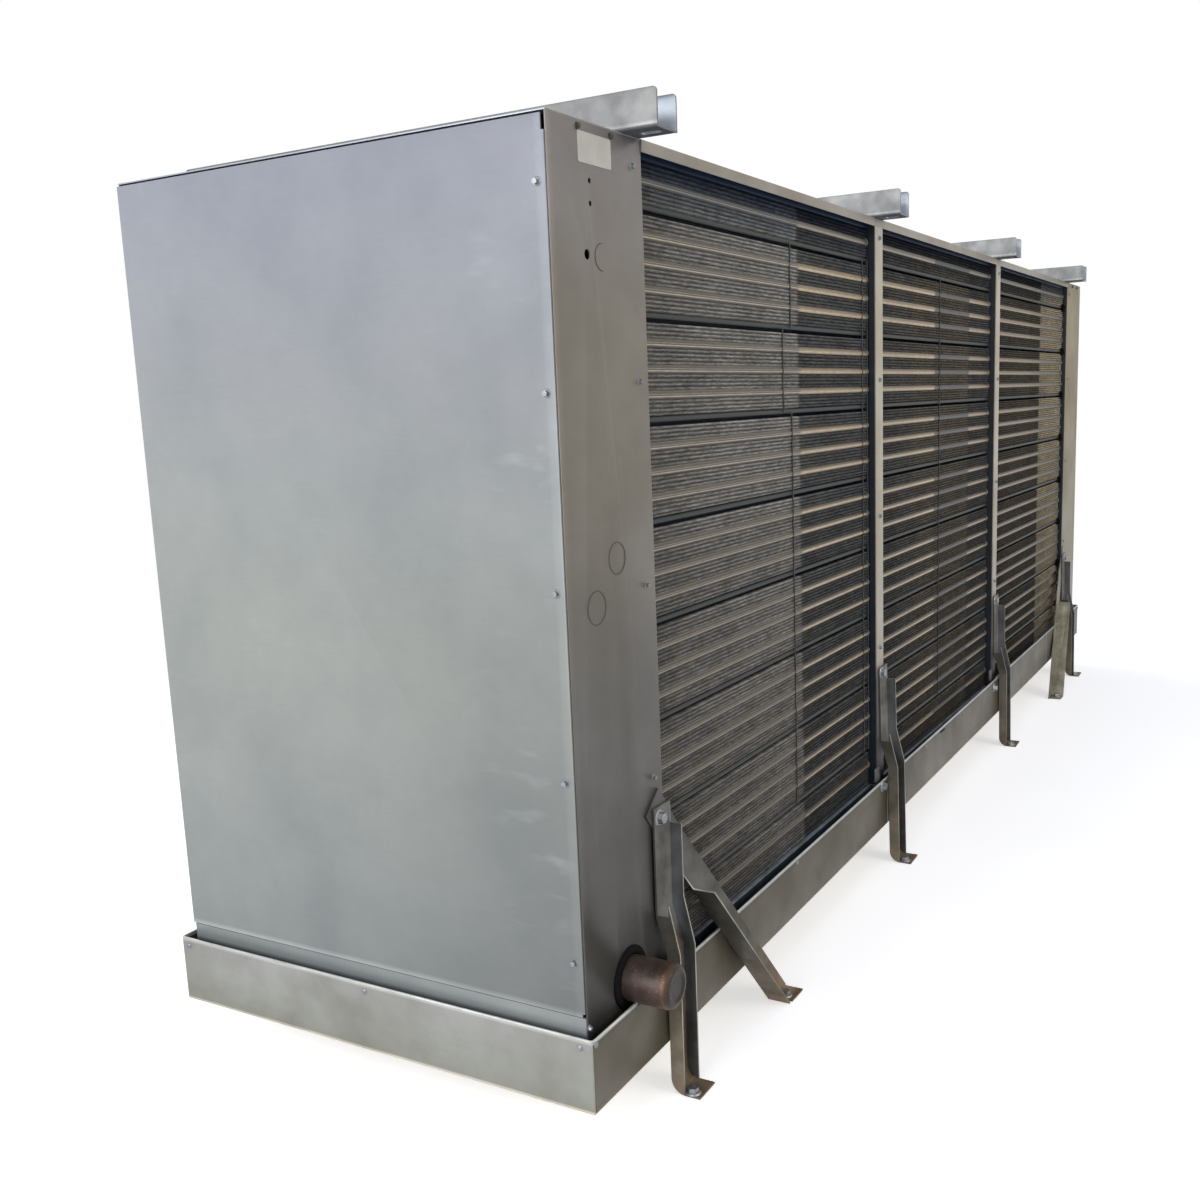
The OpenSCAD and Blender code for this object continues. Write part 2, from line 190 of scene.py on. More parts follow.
railZinc = {**sheetZinc, "line": railLine, "cloud": 0.04, "spangle": 11 * mm, "spangleDepth": 0.05,
            "patch": "#dfe1e3", "wave": 0.12}
zincLooks = {
    # End panel: painted reflection, bluish at the top and darker low, painted light brighter towards +y, and
    # painted highlights along its bottom hem and its front fold
    "EndPanel": {**sheetZinc, "line": (upright, endLow.z, endHigh.z),
                 "grade": {0: "#b0b4b2", 0.003: "#b0b4b2", 0.005: "#878c8a", 0.45: "#9ca19b", 1: "#969aa3"},
                 "side": (inwards, -0.385, 0.385),
                 "sideGrade": {0: "#dedede", 0.018: "#dadada", 0.022: "#cfcfcf", 0.12: "#d6d6d6",
                               0.5: "#f2f2f2", 1: "#ffffff"},
                 "smudge": {"slant": 38.0, "scale": (1.0, 14.0, 44.0), "spread": 7.0, "depth": 0.25,
                            "colour": "#a6acae", "line": (inwards, -0.385, -0.12),
                            "window": {0: "#000000", 0.12: "#ffffff", 0.6: "#808080", 1: "#000000"}}},
    "Panel": {**sheetZinc, "line": wallLine, "grade": {0: "#98a1a3", 0.5: "#a3a9aa", 1: "#a9afb6"}},
    # Skirt: painted shade, darker towards the pan below, and a painted shadow line along its top under the end
    # panel's edge
    "Skirt": {**sheetZinc, "line": (upright, coverLow.z, endLow.z),
              "grade": {0: "#3a4046", 0.45: "#5c6368", 0.62: "#898e8b", 0.955: "#898e8b", 0.965: "#2a2f35",
                        1: "#20252b"}},
    # Near cover: darker towards the bottom as a painted reflection of the dark ground, with a painted highlight
    # along its rounded low-x edge
    "Cover": {**sheetZinc, "line": wallLine, "patch": "#e6e4e0", "runColour": "#77726a", "runDepth": 0.2,
              "grade": {0: "#504f4c", 0.22: "#595955", 0.4: "#686661", 0.62: "#868176", 0.8: "#878277",
                        1: "#858180"},
              "side": (lengthwise, -1.747, -1.735), "sideGrade": {0: "#ffffff", 0.4: "#ffffff", 1: "#f0f0f0"}},
    # Far cover: a warmer, lighter copy of the cover's finish, painted light, and darker towards the bottom
    "FarCoverLit": {**sheetZinc, "line": wallLine, "patch": "#dedad0", "runColour": "#6b675c", "runDepth": 0.2,
                 "grade": {0: "#766f5a", 0.5: "#81775a", 1: "#918668"}},
    "Roof": {**sheetZinc, "line": (lengthwise, -1.51, 1.51), "patch": "#e2ded4",
             "grade": {0: "#9b978f", 0.5: "#a19c92", 1: "#8f8a7c"}},
    # Pan: the front is a shaded copy and the end a lit copy of one finish, painted light and shade; each has a
    # painted highlight under its rim, the front a brown painted reflection at its foot, the end a pale painted
    # highlight there
    "PanFrontShaded": {**panZinc, "runColour": "#54503f", "runDepth": 0.35,
                 "grade": {0: "#6a4e36", 0.03: "#7a5f42", 0.05: "#524a38", 0.4: "#554f3f", 0.9: "#595343",
                           0.955: "#4a463e", 0.965: "#9aa0a3", 1: "#b9bdbd"}},
    "PanEndLit": {**panZinc, "runColour": "#7d7d78", "runDepth": 0.25,
               "grade": {0: "#c9c4b4", 0.03: "#c9c4b4", 0.05: "#898b81", 0.5: "#91938c", 0.95: "#969793",
                         1: "#cfd0cc"}},
    # Mullions: painted shadow low down, behind the legs
    "Frame": {**sheetZinc, "line": coilLine, "patch": "#dedbd2", "runColour": "#6b675c", "runDepth": 0.2,
              "grade": {0: "#4a4a49", 0.22: "#565654", 0.26: "#a8a294", 0.5: "#b8b2a3", 1: "#bab4a5"}},
    # Legs: the web and the near flange's outer face with a brown painted reflection low down; the other flange
    # faces a darker copy in painted shade
    "LegWeb": {**plateZinc, "runColour": "#4a4438",
               "grade": {0: "#7a6a52", 0.1: "#857763", 0.5: "#7d7364", 0.62: "#6c6b66", 1: "#6c6c68"}},
    "LegSideShade": {**plateZinc, "runColour": "#2b2d2e",
                "grade": {0: "#625f59", 0.15: "#616262", 0.5: "#5c5f61", 0.62: "#4c4f51", 1: "#454849"}},
    "LegNearFlangeLit": {**plateZinc, "runColour": "#3f3a30",
                "grade": {0: "#7d7160", 0.4: "#7a7467", 0.6: "#646159", 1: "#4c4f51"}},
    # Braces: a brown painted reflection low down
    "Brace": {**plateZinc, "runColour": "#3a3a30",
              "grade": {0: "#806c4e", 0.1: "#756650", 0.3: "#58564b", 0.6: "#54534b", 1: "#515150"}},
    # Cut ends of the plates: bare steel, lightened further by a painted highlight
    "CutEdgeHighlight": {**plateZinc, "runColour": "#6b675c", "patch": "#dcdad2",
                "grade": {0: "#958b78", 0.3: "#b3ada0", 0.6: "#a8a69e", 1: "#8f9090"}},
    # The far brace and the pan brackets: a pale lit copy of the brace finish, painted light
    "BraceLit": {**plateZinc, "runColour": "#6b675c", "grade": {0: "#8f8b78", 1: "#9a9684"}},
    # Hanger rails: a painted highlight along the bend near the foot of the outer face, painted shade below it,
    # and darker towards the low-x end; the faces inside painted light low and shade high; faces looking down in
    # painted shade
    "Rail": {**railZinc, "grade": {0: "#6f7071", 0.12: "#a4a6a5", 0.2: "#818280", 1: "#8a8b88"},
             "side": (lengthwise, -1.6, 1.6), "sideGrade": {0: "#dddddd", 0.1: "#dddddd", 0.3: "#ffffff"}},
    "RailInnerLit": {**railZinc, "grade": {0: "#b6bdc4", 0.6: "#c3ccd4", 0.9: "#8d969d", 1: "#4a5058"}},
    "RailUnderShade": {**railZinc, "line": (inwards, -0.46, 0.46),
                  "grade": {0: "#6f7886", 0.1: "#525e70", 1: "#525e70"}},
    # Tube sheets, tube supports and the pan's inside: painted shade
    "RecessShade": {**sheetZinc, "line": coilLine, "patch": "#bdbbb5", "runColour": "#1d232b",
                  "grade": {0: "#222a33", 1: "#2a3038"}},
    # The coil's top rail: navy painted shadow under the roof's lip
    "TopRailShade": {**sheetZinc, "line": coilLine, "patch": "#b5bbc5", "runColour": "#1d232b",
                "grade": {0: "#1b3150", 1: "#203b5d"}},
    # Sill under the coil: dark blue-grey painted shade, with a painted highlight along its top edge
    "Sill": {**plateZinc, "line": (upright, coverLow.z, 0.189), "runColour": "#20262c",
             "grade": {0: "#333b43", 0.9: "#434e58", 1: "#8e9aa3"}},
    # The pan's rim: a pale copy of the finish, painted highlight
    "Hem": {**railZinc, "line": (upright, 0.18, 0.23), "grade": {0: "#c7c8c0", 1: "#b7bcbc"}}}
zinc = {part: galvanised("galvanised" + part, look) for part, look in zincLooks.items()}
print("galvanised finishes done")


# Geometry Nodes helpers

def newTree(name, inputs):
    tree = bpy.data.node_groups.new(name, "GeometryNodeTree")
    for way in ("INPUT", "OUTPUT"):
        tree.interface.new_socket(name="Geometry", in_out=way, socket_type="NodeSocketGeometry")
    for label, kind in inputs.items():
        tree.interface.new_socket(name=label, in_out="INPUT", socket_type="NodeSocket" + kind)
    return tree, addNode(tree, "NodeGroupInput", output=None).outputs


def closeTree(tree, shape, finish):
    whole = addNode(tree, "GeometryNodeRealizeInstances", (shape,))
    addNode(tree, "NodeGroupOutput", (
        addNode(tree, "GeometryNodeSetMaterial", {"Geometry": whole, "Material": finish}),))


def placePiece(name, mesh):
    mesh.name = name
    piece = bpy.data.objects.new(name, mesh)
    bpy.context.scene.collection.objects.link(piece)
    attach(piece, "root")
    return piece


def addHolder(name, mesh):
    holder = bpy.data.objects.new(name + "Holder", mesh)
    bpy.context.scene.collection.objects.link(holder)
    return holder


# The holder's mesh with its modifier's result in it; the holder and its modifier go
def settle(holder):
    bpy.context.view_layer.update()
    mesh = bpy.data.meshes.new_from_object(holder.evaluated_get(bpy.context.evaluated_depsgraph_get()))
    bpy.data.objects.remove(holder)
    return mesh


def smoothen(mesh, degrees):
    mesh.shade_smooth()
    mesh.set_sharp_from_angle(angle=math.radians(degrees))


# Runs a tree on a mesh of seed points and keeps the result as a plain mesh
def grow(name, tree, values, points=((0, 0, 0),), facing=None, smooth=None, edges=()):
    seed = bpy.data.meshes.new(name + "Seed")
    seed.from_pydata([tuple(p) for p in points], edges, [])
    if facing:
        ways = seed.attributes.new("facing", "FLOAT_VECTOR", "POINT")
        ways.data.foreach_set("vector", [c for way in facing for c in way])
    holder = addHolder(name, seed)
    modifier = holder.modifiers.new("grow", "NODES")
    modifier.node_group = tree
    for item in tree.interface.items_tree:
        if item.in_out == "INPUT" and item.name in values:
            modifier[item.identifier] = values[item.name]
    holder.update_tag()
    mesh = settle(holder)
    if smooth is not None:
        smoothen(mesh, smooth)
    return placePiece(name, mesh)


# Coil: rippled aluminium fins on a dark core of painted shade, with the front tubes flush with their edges.
# Rows are counted from the top; every fourth one holds a defrost heater in a groove instead of a tube.
coil = {"pitch": 36.9 * mm, "topMargin": 0.75, "pitches": 32, "tubes": 31, "heaterFirst": 1, "heaterStep": 4,
        "steps": 12, "finPitch": 6.35 * mm, "finDepth": 12 * mm, "ripple": 1.2 * mm, "unevenness": 0.6 * mm,
        "notch": 10 * mm, "tube": 15.9 * mm, "tubeProud": 2.2 * mm, "heater": 8.5 * mm, "heaterLift": 2 * mm}
heaterRows = range(coil["heaterFirst"], coil["tubes"], coil["heaterStep"])
tubeRows = [row for row in range(coil["tubes"]) if row not in heaterRows]
finLow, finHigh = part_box("fin_pack_1")


def rowZ(row):
    return finHigh.z - coil["pitch"] * (row + coil["topMargin"])


finTree, take = newTree("rippledFins", {
    "Low": "Vector", "Size": "Vector", "Fins": "Int", "Fin pitch": "Float", "Fin depth": "Float",
    "Ripple": "Float", "Unevenness": "Float", "Notch": "Float", "Steps": "Int", "Pitches": "Int",
    "Finish": "Material", "Core finish": "Material"})
size = addNode(finTree, "SeparateXYZ", (take["Size"],), None).outputs
cuts = reckon(finTree, take["Steps"], ("MULTIPLY", take["Pitches"]))
leaf = addNode(finTree, "GeometryNodeMeshGrid", {
    "Size X": size[2], "Size Y": take["Fin depth"], "Vertices X": reckon(finTree, cuts, ("ADD", 1.0)),
    "Vertices Y": 2})
spot = addNode(finTree, "SeparateXYZ", (addNode(finTree, "GeometryNodeInputPosition"),), None).outputs
halfHeight = reckon(finTree, size[2], ("MULTIPLY", 0.5))
halfDepth = reckon(finTree, take["Fin depth"], ("MULTIPLY", 0.5))
quarterSteps = reckon(finTree, take["Steps"], ("MULTIPLY", 0.25))
halfSteps = reckon(finTree, take["Steps"], ("MULTIPLY", 0.5))
stepHeight = reckon(finTree, size[2], ("DIVIDE", cuts))
stepAt = reckon(finTree, spot[0], ("ADD", halfHeight), ("DIVIDE", stepHeight), ("ROUND",))
shifted = reckon(finTree, stepAt, ("ADD", quarterSteps))
fromTube = reckon(finTree, shifted, ("FLOORED_MODULO", take["Steps"]), ("SUBTRACT", halfSteps), ("ABSOLUTE",))
crests = reckon(finTree, stepAt, ("FLOORED_MODULO", 2.0),
                ("MULTIPLY", reckon(finTree, fromTube, ("GREATER_THAN", 1.5))), ("MULTIPLY", take["Ripple"]))
pushed = reckon(finTree, shifted, ("DIVIDE", take["Steps"]), ("FLOOR",), ("FLOORED_MODULO", 4.0),
                ("COMPARE", 2.0, 0.1), ("MULTIPLY", reckon(finTree, fromTube, ("LESS_THAN", 2.5))),
                ("MULTIPLY", reckon(finTree, spot[1], ("LESS_THAN", 0.0))), ("MULTIPLY", take["Notch"]))
rippled = addNode(finTree, "GeometryNodeSetPosition", {
    "Geometry": leaf, "Offset": addNode(finTree, "CombineXYZ", (None, pushed, crests))})
upended = addNode(finTree, "GeometryNodeTransform", {
    "Geometry": rippled, "Rotation": (0.0, -math.pi / 2, 0.0)})
firstFin = addNode(finTree, "VectorMath", (take["Low"], addNode(finTree, "CombineXYZ", (
    reckon(finTree, take["Fin pitch"], ("MULTIPLY", 0.5)), halfDepth, halfHeight))), operation="ADD")
stations = addNode(finTree, "GeometryNodeMeshLine", {
    "Count": take["Fins"], "Start Location": firstFin,
    "Offset": addNode(finTree, "CombineXYZ", (take["Fin pitch"],))})
tilt = addNode(finTree, "FunctionNodeRandomValue", {
    0: (0.0, -0.0004, -0.03), 1: (0.0, 0.0004, 0.03), "Seed": 7}, data_type="FLOAT_VECTOR")
fins = addNode(finTree, "GeometryNodeRealizeInstances", (addNode(finTree, "GeometryNodeInstanceOnPoints", {
    "Points": stations, "Instance": upended, "Rotation": tilt}),))
sway = reckon(finTree, addNode(finTree, "TexNoise", {"Scale": 34.0, "Detail": 1.0}), ("SUBTRACT", 0.5),
              ("MULTIPLY", take["Unevenness"]))
combed = addNode(finTree, "GeometryNodeSetPosition", {
    "Geometry": fins, "Offset": addNode(finTree, "CombineXYZ", (sway,))})
coreSize = addNode(finTree, "CombineXYZ", (
    size[0], reckon(finTree, size[1], ("SUBTRACT", take["Fin depth"])), size[2]))
coreBack = addNode(finTree, "CombineXYZ", (None, halfDepth))
coreMiddle = addNode(finTree, "VectorMath", (take["Size"], (0.5, 0.5, 0.5), coreBack), operation="MULTIPLY_ADD")
core = addNode(finTree, "GeometryNodeTransform", {
    "Geometry": addNode(finTree, "GeometryNodeMeshCube", {"Size": coreSize}),
    "Translation": addNode(finTree, "VectorMath", (take["Low"], coreMiddle), operation="ADD")})
joined = addNode(finTree, "GeometryNodeJoinGeometry", {0: [
    addNode(finTree, "GeometryNodeSetMaterial", {"Geometry": shape, "Material": take[finish]})
    for shape, finish in ((combed, "Finish"), (core, "Core finish"))]})
addNode(finTree, "NodeGroupOutput", (addNode(finTree, "GeometryNodeRealizeInstances", (joined,)),))


# The row's phase runs from 0 half-way above a tube, through 0.5 at the tube, to 1 half-way below it
def rowPhase(tree, place):
    apart = addNode(tree, "SeparateXYZ", (place,), None).outputs
    turns = addNode(tree, "MapRange", (apart[2], rowZ(-0.5), rowZ(0.5), 0.0, 1.0), clamp=False)
    heater = reckon(tree, turns, ("FLOOR",), ("FLOORED_MODULO", 4.0), ("COMPARE", 1.0, 0.1))
    return apart, reckon(tree, turns, ("FRACT",)), heater


# Along the coil the fins and tubes come in lengths of different tone, each from one x to the next: light fins,
# dark fins and bright tubes, painted light and shade. "closed" says how far the fins' collars cover the tubes.
litAndShadedLengths = {"from": -1.512, "to": 1.512,
         "fins": {-1.512: "#f6faff", -0.9205: "#f6faff", -0.9195: "#a5abb1", -0.534: "#9da2ab",
                  -0.489: "#9fa2a5", -0.2225: "#9fa2a5", -0.2215: "#a6a39e", -0.0545: "#a6a39e",
                  -0.0535: "#a5a29a", 0.266: "#a5a29a", 0.267: "#888b8f", 0.489: "#81858b",
                  0.534: "#8c8a85", 1.0005: "#8c8a85",
                  1.0015: "#82807b", 1.1515: "#82807b", 1.1525: "#f0e8d4", 1.512: "#f9f0da"},
         "tubes": {-1.512: "#cdc6ba", -0.9205: "#cdc6ba", -0.9195: "#cfc2ac", -0.2225: "#c6b9a3",
                   -0.2215: "#d2c4ab", -0.0545: "#d2c4ab", -0.0535: "#605c55", 0.266: "#605c55",
                   0.267: "#c4b49c", 0.489: "#bcac95", 0.534: "#aa9b85", 1.0005: "#a69781", 1.0015: "#93876f",
                   1.1515: "#857a66", 1.1525: "#948b76", 1.512: "#948b76"},
         "closed": {-1.512: "#ffffff", -0.9205: "#ffffff", -0.9195: "#000000", -0.0545: "#000000",
                    -0.0535: "#909090", 0.266: "#909090", 0.267: "#000000", 1.0005: "#000000",
                    1.1515: "#303030", 1.1525: "#ffffff", 1.512: "#ffffff"}}
# The coil is darker towards the bottom, with navy painted shadow under the roof's lip
roofShadowRamp = {0: "#d0cfcd", 0.3: "#e6e5e4", 0.6: "#ffffff", 0.94: "#ffffff", 0.975: "#b8c2d4", 1: "#5f7090"}


def zoneRamp(tree, x, tones):
    start, span = litAndShadedLengths["from"], litAndShadedLengths["to"] - litAndShadedLengths["from"]
    stops = {(edge - start) / span: tone for edge, tone in tones.items()}
    return addNode(tree, "ValToRGB", (addNode(tree, "MapRange", (x, start, litAndShadedLengths["to"])),), stops=stops)


def roofShadowTint(tree, place):
    return lineRamp(tree, place, (upright, finLow.z, finHigh.z), roofShadowRamp), 1.0


# Bare aluminium fin stock: dull white metal, with a painted highlight on each ripple's crest in broken dashes
# and painted shade between
finStock, tree, place = newMaterial("aluminiumFinStock")
apart, phase, heater = rowPhase(tree, place)
ripples = 6
# Painted highlight on each ripple's crest and painted shade in the valleys between
crestHighlightStops = {0.0: "#8c8d8c", 0.035: "#aca9a2", 0.07: "#fff6e8", 0.11: "#dcd6ca", 0.145: "#9c9a92"}
ridgeHighlightsAndShade = {k / ripples + shift: tone for k in range(ripples) for shift, tone in crestHighlightStops.items()}
# Painted shade in the heaters' grooves, navy below each rod
grooveShadeStops = {0: "#ffffff", 0.30: "#ffffff", 0.34: "#7a8ea6", 0.52: "#5a6b80", 0.70: "#56677c",
               0.74: "#ffffff"}
tone = tinted(tree, addNode(tree, "ValToRGB", (phase,), stops={**ridgeHighlightsAndShade, 1.0: "#8c8d8c"}),
              (zoneRamp(tree, apart[0], litAndShadedLengths["fins"]), 1.0),
              (addNode(tree, "ValToRGB", (phase,), stops=grooveShadeStops), heater), roofShadowTint(tree, place))
# Painted glints: bright specks, and broken dashes lighter and darker along the crests
dash = drawnNoise(tree, place, (55.0, 1.0, 520.0), {"Detail": 3.0, "Roughness": 0.7})
speck = addNode(tree, "TexNoise", {"Vector": place, "Scale": 420.0, "Detail": 1.0})
dust = addNode(tree, "TexNoise", {"Vector": place, "Scale": 9.0, "Detail": 4.0})
tone = levelled(tree, tone, addNode(tree, "MapRange", (dust, 0.3, 0.7, 0.86, 1.12)),
                addNode(tree, "MapRange", (speck, 0.62, 0.75, 1.0, 1.4)),
                addNode(tree, "MapRange", (dash, 0.36, 0.66, 0.6, 1.45)))
closeMaterial(tree, {"Base Color": tone, "Metallic": 0.35, "Roughness": 0.5}, (speck, 0.1 * mm, 0.6))

# The fins' depths, seen between their front edges: a core of painted shade, nearly black, in vertical leaves
leafScale = 0.3142 / coil["finPitch"]
coreShade, tree, place = newMaterial("aluminiumFinShade")
leafy = addNode(tree, "TexWave", {"Vector": place, "Scale": leafScale, "Distortion": 0.4, "Detail": 1.0}, 1,
                bands_direction="X", wave_profile="SAW")
tone = addNode(tree, "ValToRGB", (leafy,), stops={0: "#232830", 0.8: "#343a43", 1: "#565c63"})
closeMaterial(tree, {"Base Color": tone, "Metallic": 0.2, "Roughness": 0.6}, (leafy, 0.5 * mm, 0.6))

# Fin collars round the tubes: pale aluminium over copper, with a painted highlight on a bright roll below the
# middle.
# How much of each collar shows lit is painted light too: high rows show the whole collar, low rows little more
# than the highlight, and the light lengths only thin lines.
collars = {
    "high": {0.33: "#6d655a", 0.40: "#a3988a", 0.53: "#b3a798", 0.57: "#fffaf0", 0.63: "#fffaf0",
             0.67: "#6b6155"},
    "low": {0.33: "#4e4e4c", 0.43: "#66625b", 0.485: "#d9cfbf", 0.52: "#fffaf0", 0.56: "#fffaf0",
            0.60: "#7e766a", 0.65: "#4e4e4c"},
    "closed": {0.32: "#66645f", 0.345: "#b4aea2", 0.375: "#6b6963", 0.45: "#66645f", 0.475: "#b8b2a6",
               0.505: "#6c6a64", 0.535: "#6c6a64", 0.565: "#fffaf0", 0.595: "#7a7770", 0.66: "#66645f"}}
collared, tree, place = newMaterial("collaredTube")
apart, phase, heater = rowPhase(tree, place)
rollHighlights = {part: addNode(tree, "ValToRGB", (phase,), stops=stops) for part, stops in collars.items()}
tone = rollHighlights["low"]
for share, part in ((addNode(tree, "MapRange", (apart[2], 0.75, 1.3)), "high"),
                    (zoneRamp(tree, apart[0], litAndShadedLengths["closed"]), "closed")):
    tone = addNode(tree, "Mix", {0: share, 6: tone, 7: rollHighlights[part]}, 2, data_type="RGBA")
tone = tinted(tree, tone, (zoneRamp(tree, apart[0], litAndShadedLengths["tubes"]), 1.0), roofShadowTint(tree, place))
dust = drawnNoise(tree, place, (60.0, 120.0, 400.0), {"Detail": 4.0})
tone = levelled(tree, tone, addNode(tree, "MapRange", (dust, 0.3, 0.7, 0.78, 1.15)))
ribs = addNode(tree, "TexWave", {"Vector": place, "Scale": leafScale}, 1, bands_direction="X")
closeMaterial(tree, {"Base Color": tone, "Metallic": 0.4, "Roughness": 0.45}, (ribs, 0.3 * mm, 0.5))

for bay in bays:
    low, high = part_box(f"fin_pack_{bay}")
    piece = grow(f"finBay_{bay}", finTree, {
        "Low": low, "Size": high - low, "Fins": int((high.x - low.x) / coil["finPitch"]),
        "Fin pitch": coil["finPitch"], "Fin depth": coil["finDepth"], "Ripple": coil["ripple"],
        "Unevenness": coil["unevenness"], "Notch": coil["notch"], "Steps": coil["steps"],
        "Pitches": coil["pitches"], "Finish": finStock, "Core finish": coreShade})
    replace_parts(piece, f"fin_pack_{bay}")
print("fins done")


# Plain metals, paint, rubber and film: a mottled tone with its own grain
def plainFinish(name, dark, light, patch, grain, metal, rough, shine):
    mat, tree, place = newMaterial(name)
    noise = addNode(tree, "TexNoise", {
        "Vector": place, "Scale": 1 / (patch * mm), "Detail": 5.0, "Roughness": 0.6})
    fine = addNode(tree, "TexNoise", {"Vector": place, "Scale": 1 / (grain * mm), "Detail": 2.0})
    tone = addNode(tree, "ValToRGB", (noise,), stops={0.3: dark, 0.7: light})
    dull = addNode(tree, "MapRange", (noise, 0.3, 0.7, rough - 0.06, rough + 0.1))
    closeMaterial(tree, {"Base Color": tone, "Metallic": metal, "Roughness": dull, "Specular IOR Level": shine},
                  (fine, 0.08 * mm, 0.5))
    return mat


plainLooks = {  # dark and light tone, patch and grain in millimetres, metal, roughness, shine
    "heaterSheath": ("#242828", "#3a3e3d", 25, 2, 0.3, 0.55, 0.5),  # dull oxide
    "blackRubber": ("#08080a", "#0f1012", 20, 1.5, 0.0, 0.8, 0.12),  # matt
    "castBrass": ("#7c6a45", "#9c8a5e", 20, 1.5, 0.9, 0.4, 0.5),  # soft yellow sheen
    "castAluminium": ("#8d9092", "#a9acae", 60, 1.2, 0.8, 0.45, 0.5),  # satin
    "blackEnamel": ("#1d1f22", "#2e3135", 50, 2, 0.0, 0.38, 0.5),  # gloss paint
    "platedZinc": ("#74777a", "#989b9e", 7, 1, 0.85, 0.35, 0.5),  # bright screws
    "dullPlatedZinc": ("#6a6d70", "#96999c", 7, 1, 0.7, 0.45, 0.5),  # old bolts
    "darkScrew": ("#3c3c3d", "#5c5c5a", 6, 1, 0.5, 0.5, 0.5),  # oxidised heads
    "zincWire": ("#a5a9ac", "#c2c5c7", 30, 1, 0.8, 0.35, 0.5),  # bright drawn wire
    "darkWire": ("#232629", "#3d4043", 40, 1, 0.2, 0.5, 0.5),  # sheathed lead
    "blankLabel": ("#bdbcb6", "#cbcac4", 30, 0.6, 0.0, 0.5, 0.5),  # faded film
    "knockoutGroove": ("#4d4c49", "#615f5a", 5, 1, 0.3, 0.6, 0.5)}  # shade in a cut
plain = {name: plainFinish(name, *look) for name, look in plainLooks.items()}

# Rods along X on seed points: coil tubes, heaters and their collars
rodTree, take = newTree("rodsOnRows", {
    "Radius": "Float", "Length": "Float", "Sides": "Int", "Finish": "Material"})
bar = addNode(rodTree, "GeometryNodeMeshCylinder", {
    "Vertices": take["Sides"], "Radius": take["Radius"], "Depth": take["Length"]}, fill_type="NGON")
closeTree(rodTree, addNode(rodTree, "GeometryNodeInstanceOnPoints", {
    "Points": take["Geometry"], "Instance": bar, "Rotation": (0.0, math.pi / 2, 0.0)}), take["Finish"])

# Round bars along the seed mesh's edges: hems, wires, knockout rings and guards
wireTree, take = newTree("roundBarsOnEdges", {"Radius": "Float", "Sides": "Int", "Finish": "Material"})
section = addNode(wireTree, "GeometryNodeCurvePrimitiveCircle", {
    "Resolution": take["Sides"], "Radius": take["Radius"]})
closeTree(wireTree, addNode(wireTree, "GeometryNodeCurveToMesh", {
    "Curve": addNode(wireTree, "GeometryNodeMeshToCurve", (take["Geometry"],)), "Profile Curve": section,
    "Fill Caps": True}), take["Finish"])


def rods(name, radius, length, sides, finish, points):
    grow(name, rodTree, {"Radius": radius, "Length": length, "Sides": sides, "Finish": finish}, points,
         smooth=40)


# Each path is (points, whether it closes on itself)
def wires(name, paths, radius, finish, sides=6):
    points, edges = [], []
    for path, closed in paths:
        start = len(points)
        points += path
        edges += [(start + k, start + k + 1) for k in range(len(path) - 1)]
        if closed:
            edges.append((len(points) - 1, start))
    values = {"Radius": radius, "Sides": sides, "Finish": finish}
    grow(name, wireTree, values, points, edges=edges, smooth=50)


# A point at a radius and an angle round an axis along Y, whose centre is (x, z)
def orbit(centre, radius, y, angle):
    return centre[0] + radius * math.cos(angle), y, centre[1] + radius * math.sin(angle)


def circle(centre, radius, y, start=0.0, end=360.0, steps=48):
    closed = end - start >= 360.0
    angles = [math.radians(start + (end - start) * k / steps) for k in range(steps if closed else steps + 1)]
    return [orbit(centre, radius, y, angle) for angle in angles], closed


collar = {"over": 1.6 * mm, "length": 5 * mm, "back": 9 * mm}
heaterBack = 0.5 * mm
for bay in bays:
    low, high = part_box(f"fin_pack_{bay}")
    middle, span = (low.x + high.x) / 2, high.x - low.x
    tubeY = low.y + coil["tube"] / 2 - coil["tubeProud"]
    heaterY = low.y + coil["heater"] / 2 + heaterBack
    rods(f"coilTubes_{bay}", coil["tube"] / 2, span, 20, collared,
         [(middle, tubeY, rowZ(row)) for row in tubeRows])
    rods(f"heaterRods_{bay}", coil["heater"] / 2, span + 2 * mm, 12, plain["heaterSheath"],
         [(middle, heaterY, rowZ(row) + coil["heaterLift"]) for row in heaterRows])
    rods(f"tubeCollars_{bay}", coil["tube"] / 2 + collar["over"], collar["length"], 18,
         plain["dullPlatedZinc"],
         [(high.x - collar["back"], tubeY, rowZ(row)) for row in tubeRows])
grommet = {"radius": 13 * mm, "length": 22 * mm, "x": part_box("fin_pack_3")[1].x - 10 * mm}
rods("heaterGrommets", grommet["radius"], grommet["length"], 16, plain["blackRubber"],
     [(grommet["x"], finLow.y + 1 * mm, rowZ(row)) for row in heaterRows])

# The heaters' leads hang slack down the coil's face, in a length between each two heaters. "steps" gives each
# lead's x and how far its second length steps aside.
leads = {"radius": 1.4 * mm, "gap": 1.6 * mm, "sway": 1.2 * mm, "wave": 2.1, "slack": 0.4 * mm, "points": 7,
         "steps": {-0.957: 0.038, -0.575: 0.0, -0.010: 0.0, -0.545: 0.0}}
leadPaths = []
for x, sideStep in leads["steps"].items():
    for n, row in enumerate(heaterRows[:-1]):
        offset = -sideStep if n == 1 else 0.0
        leadPaths.append(([(x + offset + leads["sway"] * math.sin(leads["wave"] * (n + k)),
                            finLow.y - leads["gap"] - (k % 2) * leads["slack"],
                            rowZ(row + coil["heaterStep"] * k / (leads["points"] - 1)))
                           for k in range(leads["points"])], False))
wires("heaterLeads", leadPaths, leads["radius"], plain["darkWire"])
print("tubes and heaters done")


